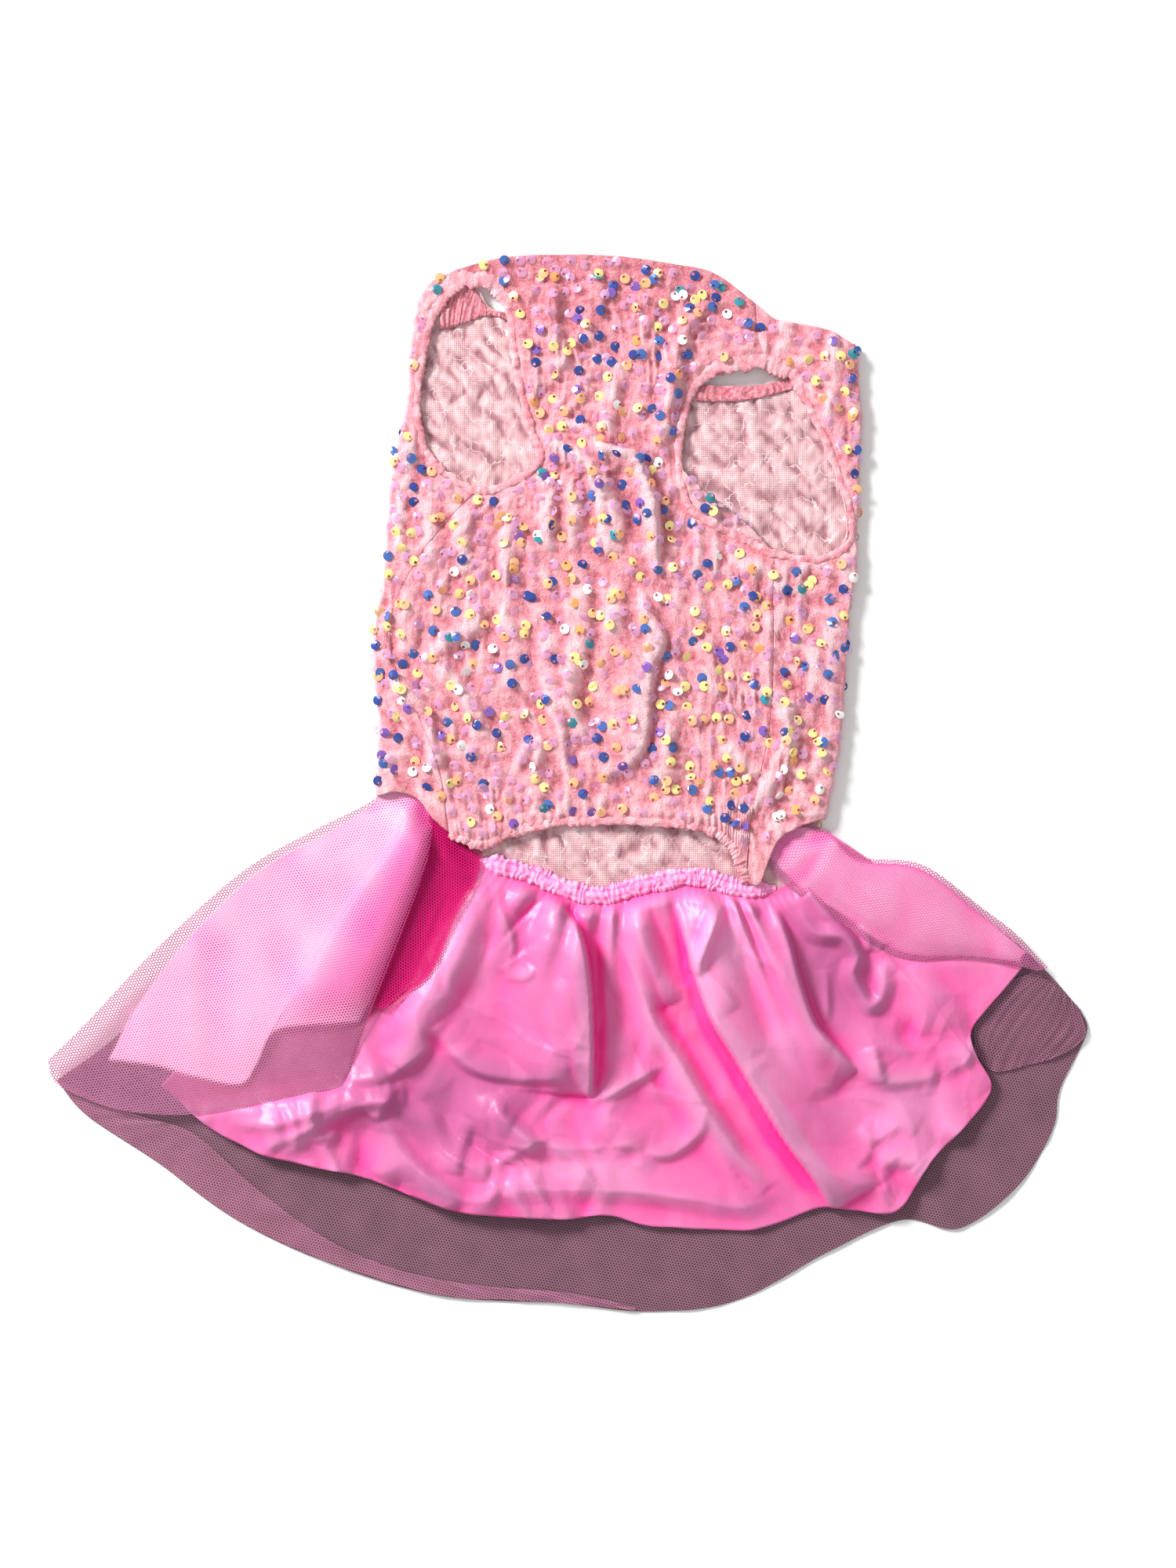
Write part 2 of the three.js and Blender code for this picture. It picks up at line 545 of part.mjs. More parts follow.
function skirt() {
  const waist = SATIN_GORES.map((g) => g.waist);
  const hem = SATIN_GORES.map((g) => g.hem);
  const right = [waist.at(-1), hem.at(-1)];
  const plan = patch({ top: waist, bottom: hem, left: [waist[0], hem[0]], right });
  return panel(plan, 45, 13, satinTop, (x, y) => satinTop(x, y) - SATIN);
}

function netSkirt() {
  const waist = NET_GORES.map((g) => g.waist);
  const hem = NET_GORES.map((g) => g.hem);
  const plan = patch({
    top: waist,
    bottom: hem,
    left: [waist[0], [-130, -45], [-185, -90], [-222, -125], hem[0]],
    right: [waist.at(-1), [150, -42], [176, -44], [206, -66], [232, -88], hem.at(-1)],
  });
  return panel(plan, 36, 4, () => NET, () => 0);
}

// How a folded-over side lies: a little clear of the creases under it, and rolled along the edge
// where the cloth doubles back
const SIDE_LIFT = 0.8;
const NET_LIFT = 1;
const ROLL_LEFT = 6;
const ROLL_RIGHT = 3;
const wingLeftRoll = (u, v) => ROLL_LEFT * smoothstep(0.3, 0.85, u) * (1 - 0.6 * smoothstep(0.6, 1, v));
const wingRightRoll = (u, v) => ROLL_RIGHT * Math.sin(Math.PI * v) * Math.sin(Math.PI * u);

function wingPair(satinEdges, netEdges, columns, rows, roll) {
  const satinLow = (x, y, u, v) => satinTop(x, y) + SIDE_LIFT + roll(u, v);
  const satin = panel(patch(satinEdges), columns, rows,
    (x, y, u, v) => satinLow(x, y, u, v) + SATIN, satinLow);
  const netLow = (x, y, u, v) => satinTop(x, y) + SIDE_LIFT + SATIN + NET_LIFT + roll(u, v);
  const net = panel(patch(netEdges), columns, rows, (x, y, u, v) => netLow(x, y, u, v) + NET, netLow);
  return { satin, net };
}

function turnback(edges, columns, rows) {
  return panel(patch(edges), columns, rows, () => NET + GAP + NET, () => NET + GAP);
}

// Finishes
const finish = {
  velvet: new THREE.MeshStandardMaterial({ color: 0xe89aa2, roughness: 0.85, metalness: 0 }),
  velvetReverse: new THREE.MeshStandardMaterial({ color: 0xd9aeb2, roughness: 0.95, metalness: 0 }),
  satin: new THREE.MeshStandardMaterial({ color: 0xf070bd, roughness: 0.35, metalness: 0 }),
  net: new THREE.MeshStandardMaterial({ color: 0x8a5f73, roughness: 0.8, metalness: 0 }),
  elastic: new THREE.MeshStandardMaterial({ color: 0xf23f9c, roughness: 0.6, metalness: 0 }),
};

const dress = new THREE.Group();
function add(name, geometry, material) {
  const mesh = new THREE.Mesh(geometry, material);
  mesh.name = name;
  dress.add(mesh);
}

const leftWing = wingPair(WING_LEFT_SATIN, WING_LEFT_NET, 12, 9, wingLeftRoll);
const rightWing = wingPair(WING_RIGHT_SATIN, WING_RIGHT_NET, 14, 4, wingRightRoll);

add('back_panel', backPanel(), finish.velvetReverse);
add('neck_back_hem', neckBackHem(), finish.velvet);
add('belly_panel', bellyPanel(), finish.velvet);
add('leg_binding_left', binding('bellyL', 'wrapL', LEG_HOLE_STATIONS.left), finish.velvet);
add('leg_binding_right', binding('bellyR', 'wrapR', LEG_HOLE_STATIONS.right), finish.velvet);
add('belly_hem', band(BELLY_ARCH, BELLY_HEM.gathers * 3, BELLY_HEM, bodiceTop), finish.velvet);
add('waist_casing', band(CASING_LINE, CASING.gathers * 3, CASING, () => VELVET), finish.elastic);
add('satin_skirt', skirt(), finish.satin);
add('satin_side_left', leftWing.satin, finish.satin);
add('satin_side_right', rightWing.satin, finish.satin);
add('net_skirt', netSkirt(), finish.net);
add('net_side_left', leftWing.net, finish.net);
add('net_side_right', rightWing.net, finish.net);
add('net_turnback_left', turnback(TURNBACK_LEFT, 30, 1), finish.net);
add('net_turnback_right', turnback(TURNBACK_RIGHT, 6, 6), finish.net);

export default dress;
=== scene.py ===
import bpy
import numpy as np
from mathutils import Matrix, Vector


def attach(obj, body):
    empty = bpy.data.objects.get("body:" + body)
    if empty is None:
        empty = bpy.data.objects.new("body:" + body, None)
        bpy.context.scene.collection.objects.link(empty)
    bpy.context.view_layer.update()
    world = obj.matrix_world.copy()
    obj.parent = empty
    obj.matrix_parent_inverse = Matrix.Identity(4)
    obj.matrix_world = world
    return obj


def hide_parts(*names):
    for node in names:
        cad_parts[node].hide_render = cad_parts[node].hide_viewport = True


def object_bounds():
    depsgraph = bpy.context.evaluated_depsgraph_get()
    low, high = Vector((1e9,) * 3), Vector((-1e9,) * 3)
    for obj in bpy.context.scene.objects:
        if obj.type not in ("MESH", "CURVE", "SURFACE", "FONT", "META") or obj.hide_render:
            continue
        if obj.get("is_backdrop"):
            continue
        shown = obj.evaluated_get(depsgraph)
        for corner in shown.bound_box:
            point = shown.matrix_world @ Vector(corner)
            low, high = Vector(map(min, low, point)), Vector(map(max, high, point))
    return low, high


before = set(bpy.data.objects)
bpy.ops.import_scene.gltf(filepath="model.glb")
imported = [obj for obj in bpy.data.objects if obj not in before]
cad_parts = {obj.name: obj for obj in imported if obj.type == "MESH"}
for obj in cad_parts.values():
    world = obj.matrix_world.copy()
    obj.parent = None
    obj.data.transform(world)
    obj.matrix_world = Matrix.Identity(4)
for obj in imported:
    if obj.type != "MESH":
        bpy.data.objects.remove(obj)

cad_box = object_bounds()
MM = 0.001

# The table, the light and the camera
# The dress lies on a plain white table. A broad soft lamp stands to the upper left, a wide weak one
# hangs overhead, and the camera looks straight down from 1.6 m.
SCALE = 0.385 * MM  # of the dress, for one pixel of the 1500 by 2000 frame
VIEW_CENTRE = (10.8 * MM, 0.0)
VIEW_HEIGHT = 1600 * MM
LONG_SIDE = 2000
SENSOR = 36.0
TABLE_REACH = 4.0
TABLE_TOP = -0.2 * MM

camera_data = bpy.data.cameras.new("overhead_camera")
camera_data.sensor_width = SENSOR
camera_data.lens = SENSOR * VIEW_HEIGHT / (LONG_SIDE * SCALE)
camera_data.clip_end = 20
camera = bpy.data.objects.new("overhead_camera", camera_data)
camera.location = (*VIEW_CENTRE, VIEW_HEIGHT)
bpy.context.scene.collection.objects.link(camera)
bpy.context.scene.camera = camera
bpy.context.scene.view_settings.view_transform = "Standard"


def lamp(name, place, size, power, colour):
    """A square area lamp at a place, turned to face the middle of the dress."""
    data = bpy.data.lights.new(name, "AREA")
    data.size = size
    data.energy = power
    data.color = colour
    made = bpy.data.objects.new(name, data)
    made.location = place
    made.rotation_mode = "QUATERNION"
    made.rotation_quaternion = (-made.location).to_track_quat("-Z", "Y")
    bpy.context.scene.collection.objects.link(made)


def mesh_object(name, points, faces, **values):
    """An object in the scene from points and faces, with any named values as point attributes."""
    mesh = bpy.data.meshes.new(name)
    mesh.from_pydata(points, [], faces)
    for key, value in values.items():
        mesh.attributes.new(key, "FLOAT", "POINT").data.foreach_set("value", np.float32(value).reshape(-1))
    made = bpy.data.objects.new(name, mesh)
    bpy.context.scene.collection.objects.link(made)
    return made


lamp("window_lamp", (-2.2, 1.9, 1.6), 0.9, 190.0, (1.0, 0.99, 0.97))
lamp("ceiling_lamp", (0.3, -0.2, 1.9), 2.4, 5.0, (1.0, 1.0, 1.0))
world = bpy.data.worlds.new("studio")
bpy.context.scene.world = world
world.use_nodes = True
backdrop = world.node_tree.nodes["Background"].inputs
backdrop["Color"].default_value = (1.0, 1.0, 1.0, 1)
backdrop["Strength"].default_value = 0.5

square = ((-1, -1), (1, -1), (1, 1), (-1, 1))
corners = [(x * TABLE_REACH, y * TABLE_REACH, TABLE_TOP) for x, y in square]
table = mesh_object("table", corners, [(0, 1, 2, 3)])
table_finish = bpy.data.materials.new("white_table")
table_finish.use_nodes = True
table_look = table_finish.node_tree.nodes["Principled BSDF"].inputs
table_look["Base Color"].default_value = (0.96, 0.96, 0.96, 1)
table_look["Roughness"].default_value = 0.7
table.data.materials.append(table_finish)
table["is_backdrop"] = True

# The back panel
# One piece of stretch velvet with a rose pink pile outside and a pale knitted reverse inside. It lies
# underneath, goes round both sides and is sewn to the belly panel on top, along the two side seams.
VELVET = 0.9 * MM  # wall
VELVET_LEVEL = 4.45 * MM  # middle of the belly side's wall over the table, where it has no fold
BACK_LEVEL = 1.0 * MM  # middle of the back's wall
NECK_BACK = [
    (-64, 248.5), (-47, 245), (-38.5, 233.5), (-27.5, 230), (-8.5, 221.5), (18.5, 210),
    (41.5, 202), (61, 196.5), (88, 195), (109, 198.5), (124.5, 205.5), (142, 215.5)]
WAIST = [
    (-92.5, -5.5), (-78, -20), (-60.5, -32.5), (-42.5, -41.5), (-27.5, -46), (-8.5, -52.5), (14.5, -58),
    (37.5, -54), (61, -49.5), (84, -54.5), (103, -54.5), (116.5, -46), (126.5, -17.5)]
SIDE_FOLD_LEFT = [
    (-64, 248.5), (-69.5, 243.5), (-73, 235.5), (-75.5, 224), (-77, 210), (-78, 192.5), (-81, 175),
    (-84, 161.5), (-85.5, 152), (-86.5, 140.5), (-88, 123), (-89.5, 102), (-94, 79), (-95, 58),
    (-92.5, 31), (-92, 9.5), (-92.3, 2.5), (-92.5, -5.5)]
SIDE_FOLD_RIGHT = [
    (142, 215.5), (143.5, 207), (144.5, 196.5), (145, 186.5), (145, 175), (144.5, 161.5), (144, 146.5),
    (143.5, 133), (143, 121.5), (143, 113), (142, 102), (140, 86.5), (138, 65.5), (136.5, 44.5),
    (134.5, 21), (131, 0), (129, -9), (126.5, -17.5)]
SHOULDER_LEFT = [(-53.5, 252), (-50, 247.5)]
SHOULDER_RIGHT = [(93, 235), (94, 219.5), (98, 207)]
SIDE_SEAM_LEFT = [
    (-43, 143.5), (-56.5, 130), (-74, 107.5), (-85.5, 81), (-82.5, 54), (-70, 29), (-61.5, 6), (-59, -9),
    (-57, -24)]
SIDE_SEAM_RIGHT = [
    (102, 112.5), (101.5, 92.5), (101.5, 69.5), (101, 46), (99, 23), (94, 0), (90, -22), (88, -48)]
# The leg holes' edges, down the back panel's side and down the belly panel's
HOLE_BACK_LEFT = [
    (-50, 247.5), (-59.5, 239.5), (-66, 226.5), (-70, 210), (-72.5, 192.5), (-72.5, 176.5), (-67.5, 161.5),
    (-57, 150.5), (-43, 143.5)]
HOLE_BACK_RIGHT = [
    (98, 207), (111, 201), (118, 187), (126, 171), (133.5, 152), (139, 134), (139, 118.5), (125, 110),
    (102, 112.5)]
HOLE_BELLY_LEFT = [
    (-50, 247.5), (-34.5, 244), (-28, 231), (-25, 210), (-21.5, 190), (-16.5, 172), (-13, 158),
    (-27, 147.5), (-43, 143.5)]
HOLE_BELLY_RIGHT = [
    (98, 207), (80, 205), (64.5, 197), (58, 181), (55, 158), (60, 137), (74.5, 126), (88, 119),
    (102, 112.5)]
LEG_HOLES = {
    "left": HOLE_BELLY_LEFT + HOLE_BACK_LEFT[-2::-1],
    "right": HOLE_BELLY_RIGHT + HOLE_BACK_RIGHT[-2::-1]}
NECK_WRAP_LEFT = [(-64, 248.5), (-57.5, 250.5), (-53.5, 252)]
NECK_WRAP_RIGHT = [(93, 235), (103, 227.5), (116.5, 225), (131, 222), (142, 215.5)]
HEM_WRAP_LEFT = [(-92.5, -5.5), (-85.5, -4), (-74, -7), (-65.5, -17), (-57, -24)]
HEM_WRAP_RIGHT = [(88, -48), (95, -49), (99.5, -39), (105, -28), (115, -21.5), (126.5, -17.5)]
NECK_FRONT = [(-53.5, 252), (-31.5, 257.5), (-8.5, 259), (22.5, 258.5), (49.5, 255), (72.5, 250), (93, 235)]
BELLY_ARCH = [
    (-57, -24), (-41.5, -30), (-27.5, -24), (-8.5, -19.5), (14.5, -18), (49.5, -19), (67.8, -22),
    (79, -27.5), (84.5, -37), (88, -48)]
NECK_STITCH = 13 * MM  # distance of the neck hem's stitching from the neck edge
STITCH_GROOVE = 1.8 * MM  # half width
SEAM_DIP = 0.4 * MM  # how deep the side seams lie in the pile
LATTICE = 128  # cells of the random lattices, each way, before they repeat
SOFT_FOLD = 0.15  # crispness of a fold whose row gives none
FOLD_SPREAD = 1.4  # the bodice's folds run out this much wider than their rows say
# Folds of the belly side: the crest's line, how far the fold falls to the left and to the right of its
# travel, its height, in millimetres, and how crisp it is, from 0 to 1
BODICE_FOLDS = [
    ([(-94, 79), (-93, 65), (-83, 51), (-74, 36), (-66, 20), (-61, 4), (-59, -7)], 5, 4, 3.4),
    ([(-45, 91), (-47, 76), (-60, 68), (-63, 60), (-53, 47), (-45, 33), (-43, 17)], 4, 5, 3),
    ([(-27, 97), (-29, 81), (-26, 65), (-29, 47)], 4, 5, 2.2),
    ([(-15, 86), (-10, 70), (-11, 55), (-5, 33), (-7, 11)], 6, 5, 3.4),
    ([(9, 100), (8, 81), (9, 68), (3, 52), (3, 33), (9, 17)], 6, 9, 4),
    ([(20, 95), (21, 79), (17, 60), (15, 39)], 5, 4, 2.6),
    ([(35, 100), (39, 84), (47, 71), (43, 59), (40, 44), (39, 23), (32, 11), (17, 4)], 2.5, 20, 5, 0.4),
    ([(99, 86), (98, 60), (101, 44), (107, 35), (108, 20), (102, 4), (91, -12)], 6, 5, 4),
    ([(78, 20), (87, 11), (95, 4)], 5, 5, 2.2),
    ([(52, 39), (49, 20), (46, -2)], 5, 5, 2.6),
    ([(-26, 4), (-16, 20), (-11, 6)], 4, 4, 2.2),
    ([(119, 76), (121, 52), (119, 28)], 5, 4, 2),
    ([(131, 76), (129, 36), (123, 4)], 4, 4, 2.2),
    ([(67, 71), (71, 47), (68, 33)], 6, 6, 2),
    ([(-82, 95), (-77, 73), (-80, 59)], 5, 5, 2),
    ([(-4, 245), (-9, 226), (-3, 210), (-4, 194)], 5, 6, 2.8),
    ([(65, 238), (59, 224), (54, 210), (52, 191), (49, 174), (44, 161)], 5, 6, 4),
    ([(-20, 171), (-3, 164), (13, 153), (22, 136), (26, 113)], 5, 6, 6, 0.5),
    ([(4, 180), (19, 164), (33, 160), (41, 142), (44, 127), (43, 105)], 3, 9, 8, 0.6),
    ([(22, 210), (24, 196), (20, 180), (22, 161)], 5, 5, 3),
    ([(13, 152), (16, 130), (21, 111)], 4, 4, 2.6),
    ([(-81, 152), (-83, 128), (-87, 105)], 4, 5, 2.4),
    ([(-67, 153), (-66, 128), (-64, 105)], 5, 5, 2.4),
    ([(-50, 136), (-51, 120), (-50, 102)], 5, 5, 2.4),
    ([(-28, 142), (-29, 120), (-28, 97)], 5, 5, 3),
    ([(-12, 152), (-9, 133), (-9, 111)], 5, 5, 3),
    ([(0, 153), (4, 136), (1, 113)], 5, 5, 3),
    ([(129, 221), (131, 199), (128, 174)], 5, 5, 1.8),
    ([(38, 243), (37, 226), (40, 210)], 6, 6, 2.2),
    ([(16, 248), (13, 230), (11, 215)], 6, 6, 2.2),
    ([(81, 113), (92, 105), (107, 95)], 6, 6, 2.4),
]


def through(points):
    """A smooth line through points in millimetres, as a function of 0 to 1 that reaches them at even
    steps: each span is the cubic whose slope at a point is half the step between its two neighbours."""
    p = np.asarray(points, float) * MM
    spans = len(p) - 1
    p = np.vstack([2 * p[0] - p[1], p, 2 * p[-1] - p[-2]])

    def at(t):
        s = np.clip(t, 0, 1) * spans
        i = np.minimum(s.astype(int), spans - 1)
        f = (s - i)[..., None]
        a, b, c, d = p[i], p[i + 1], p[i + 2], p[i + 3]
        return b + 0.5 * f * (c - a + f * (2 * a - 5 * b + 4 * c - d + f * (3 * (b - c) + d - a)))

    return at


def cornered(parts, across=0.0):
    """Several smooth lines end to end with a corner where they meet, moved across by a distance. Each
    takes the share of 0 to 1 that its number of spans is of all of them."""
    spans = [len(part) - 1 for part in parts]
    starts = np.concatenate([[0], np.cumsum(spans)])
    lines = [through(part) for part in parts]

    def at(t):
        place = np.clip(np.asarray(t, float), 0, 1) * starts[-1]
        out = np.zeros(place.shape + (2,))
        for line, start, count in zip(lines, starts, spans):
            part = (place >= start) & (place <= start + count)
            out[part] = line((place[part] - start) / count)
        return out + [across, 0]

    return at


def patch(left, right, top, bottom, u, v):
    """The Coons patch between four lines: the blend of left and right by u, plus the blend of top and
    bottom by v, minus the blend of the four corners. v goes from top to bottom."""
    one = np.array([0.0, 1.0])
    (top0, top1), (low0, low1) = top(one), bottom(one)
    sides = (1 - u)[..., None] * left(v) + u[..., None] * right(v)
    ends = (1 - v)[..., None] * top(u) + v[..., None] * bottom(u)
    u, v = u[..., None], v[..., None]
    return sides + ends - (1 - u) * (1 - v) * top0 - u * (1 - v) * top1 - (1 - u) * v * low0 - u * v * low1


def strip(top, bottom, u, v):
    """The Coons patch of a strip: its top and bottom lines, and straight lines between their ends."""
    ends = (through([top[end], bottom[end]]) for end in (0, -1))
    return patch(*ends, through(top), through(bottom), u, v)


def random_cells(x, y, lowest, seed):
    """Random heights from lowest to 1 on a lattice one unit wide: for each place, how far it is across and
    up its cell, from 0 to 1, and the heights of the cell's four corners."""
    heights = np.random.default_rng(seed).uniform(lowest, 1, (LATTICE, LATTICE))
    x, y = np.broadcast_arrays(x, y)
    i, j = np.floor(x).astype(int), np.floor(y).astype(int)
    ends = ((0, 0), (1, 0), (0, 1), (1, 1))
    return x - i, y - j, [heights[(i + m) % LATTICE, (j + n) % LATTICE] for m, n in ends]


def noise(x, y, seed):
    """Random heights of -1 to 1 on a lattice one unit wide, joined by the quintic ease curve."""
    fx, fy, (a, b, c, d) = random_cells(x, y, -1, seed)
    fx, fy = (f * f * f * (f * (6 * f - 15) + 10) for f in (fx, fy))
    low, high = a * (1 - fx) + b * fx, c * (1 - fx) + d * fx
    return low * (1 - fy) + high * fy


def ease(low, high, x):
    """0 below low, 1 above high, and the curve 3t^2 - 2t^3 between."""
    t = np.clip((x - low) / (high - low), 0, 1)
    return t * t * (3 - 2 * t)


def nearest(x, y, line):
    """For each place, the distance to a polyline, how far along it from 0 to 1 the nearest point is, and
    whether the place is to the left of its travel."""
    a, d = line[:-1], np.diff(line, axis=0)
    away_x, away_y = x[..., None] - a[:, 0], y[..., None] - a[:, 1]
    t = np.clip((away_x * d[:, 0] + away_y * d[:, 1]) / (d * d).sum(1), 0, 1)
    away = np.hypot(away_x - t * d[:, 0], away_y - t * d[:, 1])
    k = away.argmin(-1)
    pick = lambda values: np.take_along_axis(values, k[..., None], -1)[..., 0]
    side = pick(away_y * d[:, 0] - away_x * d[:, 1]) > 0
    return pick(away), (k + pick(t)) / len(a), side


def away_from(x, y, *lines):
    """The distance to the nearest of several smooth lines."""
    steps = np.linspace(0, 1, 60)
    return np.minimum.reduce([nearest(x, y, line(steps))[0] for line in lines])


def folds_height(x, y, folds, spread=1.0):
    """The sum of a table's folds, their reaches times a spread. Across a fold the height falls from the
    crest by (1 - q^2)^2, or by (1 - q)^1.4 for a crisp one, where q is the distance over the reach on
    that side. Along it the height dies out towards both ends as a power of the half sine."""
    total = np.zeros_like(x)
    for path, left, right, high, *crisp in folds:
        crisp = crisp[0] if crisp else SOFT_FOLD
        left, right = left * spread, right * spread
        line = through(path)(np.linspace(0, 1, 5 * len(path)))
        margin = max(left, right) * MM
        close = ((x > line[:, 0].min() - margin) & (x < line[:, 0].max() + margin)
                 & (y > line[:, 1].min() - margin) & (y < line[:, 1].max() + margin))
        away, along, is_left = nearest(x[close], y[close], line)
        q = np.minimum(away / np.where(is_left, left * MM, right * MM), 1)
        across = (1 - crisp) * (1 - q * q) ** 2 + crisp * (1 - q) ** 1.4
        total[close] += high * MM * across * np.sin(np.pi * np.clip(along, 0, 1)) ** 0.55
    return total


def facets(x, y, size, seed):
    """Crushed cloth from 0 to 1: random heights on a lattice one size wide, joined by flat triangles, two
    to a cell, which meet in sharp creases."""
    fx, fy, (a, b, c, d) = random_cells(x / size, y / size, 0, seed)
    low, high = a + fx * (b - a) + fy * (c - a), d + (1 - fx) * (c - d) + (1 - fy) * (b - d)
    return np.where(fx + fy < 1, low, high)


def velvet_crush(x, y):
    """The fine relief of the stretch velvet, about 4 mm from its lowest to its highest: long ridges with
    pinched crests that run down the cloth and wander, with shorter puckers between the sewn sequins."""
    drift = 7 * MM * noise(x / (30 * MM), y / (22 * MM), 3)
    pinched = lambda n: 1 - 2 * np.abs(n)
    long_folds = pinched(noise((x + drift) / (11 * MM), y / (32 * MM), 5))
    puckers = pinched(noise((x + 0.6 * drift) / (6.5 * MM), y / (10 * MM), 7))
    small = pinched(noise((x + 0.3 * drift) / (3.4 * MM), y / (4.2 * MM), 9))
    return MM * (1.1 + 0.9 * long_folds + 0.65 * puckers + 0.65 * small)


seam_left = cornered([SHOULDER_LEFT, HOLE_BACK_LEFT, SIDE_SEAM_LEFT])
seam_right = cornered([SHOULDER_RIGHT, HOLE_BACK_RIGHT, SIDE_SEAM_RIGHT])
side_left, side_right = through(SIDE_FOLD_LEFT), through(SIDE_FOLD_RIGHT)
bound_edges = [through(LEG_HOLES["left"]), through(LEG_HOLES["right"]), through(BELLY_ARCH)]


def belly_side(x, y):
    """The middle of the wall on the belly side: the level, plus the folds, plus the fine relief, all low
    beside the side folds and the bound edges, and with a groove along the neck hem's stitching."""
    beside = away_from(x, y, side_left, side_right)
    bound = away_from(x, y, *bound_edges)
    neck = away_from(x, y, through(NECK_FRONT))
    seams = away_from(x, y, seam_left, seam_right)
    groove = np.exp(-(((neck - NECK_STITCH) / STITCH_GROOVE) ** 2))
    big = folds_height(x, y, BODICE_FOLDS, FOLD_SPREAD)
    big = big * ease(2 * MM, 12 * MM, beside) * ease(1 * MM, 8 * MM, bound)
    fine = velvet_crush(x, y)
    fine = fine * (0.4 + 0.6 * ease(0, 7 * MM, beside)) * (0.4 + 0.6 * ease(0, 6 * MM, bound))
    fine *= 0.6 + 0.4 * ease(6 * MM, 20 * MM, neck)
    seam_dip = SEAM_DIP * np.exp(-((seams / (1.3 * MM)) ** 2))
    return VELVET_LEVEL + (big + fine) * (1 - 0.35 * groove) - 0.3 * MM * groove - seam_dip


def back_inside(x, y):
    """The middle of the wall underneath: nearly flat against the table, with the slanting puckers that
    the sewing draws into it, up to 2.8 mm high, and flat beside the waist."""
    drift = 1.3 * MM * noise(x / (13 * MM), y / (13 * MM), 31)
    along, across = 0.45 * (x - 0.8 * y) + drift, y + 0.8 * x + drift
    large, small = facets(along, across, 4.2 * MM, 33), facets(across, along * 2, 2.6 * MM, 35)
    puckers = MM * (1.9 * large + 0.9 * small)
    return BACK_LEVEL + puckers * (0.1 + 0.9 * ease(6 * MM, 16 * MM, away_from(x, y, through(WAIST))))


def lattice(columns, rows):
    """Even places of 0 to 1 across and down a sheet."""
    return np.meshgrid(np.linspace(0, 1, columns), np.linspace(0, 1, rows))


def quads(rows, columns, ring):
    """Four-sided faces over a grid of points. ring says whether the last row joins the first, and the
    last column the first."""
    row, col = np.mgrid[0:rows - (not ring[0]), 0:columns - (not ring[1])]
    at = lambda r, c: (r % rows) * columns + c % columns
    faces = np.stack([at(row, col), at(row + 1, col), at(row + 1, col + 1), at(row, col + 1)], -1)
    return faces.reshape(-1, 4)


def cloth_mesh(name, grid, outward=1, ring=(False, False), **values):
    """A smooth mesh over a grid of points, with any named values as point attributes. outward -1 turns
    the faces over. A tube that isn't a ring along its rows is capped."""
    rows, columns = grid.shape[:2]
    faces = quads(rows, columns, ring)[:, ::outward].tolist()
    if ring[1] and not ring[0]:
        first, last = np.arange(columns), np.arange(columns) + (rows - 1) * columns
        faces += [first[::outward].tolist(), last[::-outward].tolist()]
    made = mesh_object(name, grid.reshape(-1, 3), faces, **values)
    made.data.polygons.foreach_set("use_smooth", np.ones(len(faces), bool))
    return made


def thicken(piece, wall, inside=0):
    """Gives a sheet its wall, half on each side. inside is how many material slots further the inner
    face's finish is."""
    solid = piece.modifiers.new("wall", "SOLIDIFY")
    solid.thickness = wall
    solid.offset = 0
    solid.material_offset = inside


def crest(height, wide):
    """How far a height grid stands over its own surroundings, from 0 in a hollow to 1 on a ridge: the
    height minus its mean over a square of cells, scaled by four times its spread."""
    padded = np.pad(height, wide, "edge")
    total = np.pad(padded.cumsum(0).cumsum(1), ((1, 0), (1, 0)))
    span = 2 * wide + 1
    square = total[span:, span:] - total[:-span, span:] - total[span:, :-span] + total[:-span, :-span]
    over = height - square / span ** 2
    return np.clip(0.5 + over / (4 * over.std()), 0, 1)


class Wire:
    """One output in a finish's node tree. Sums, differences, products and powers of wires and numbers
    add the Math node that they name."""

    def __init__(self, finish, socket):
        self.finish = finish
        self.socket = socket

    def math(self, operation, *values):
        return self.finish.node("ShaderNodeMath", {"operation": operation}, values)

    def __add__(self, other):
        return self.math("ADD", self, other)

    def __sub__(self, other):
        return self.math("SUBTRACT", self, other)

    def __rsub__(self, other):
        return self.math("SUBTRACT", other, self)

    def __mul__(self, other):
        return self.math("MULTIPLY", self, other)

    def __pow__(self, other):
        return self.math("POWER", self, other)

    __radd__ = __add__
    __rmul__ = __mul__


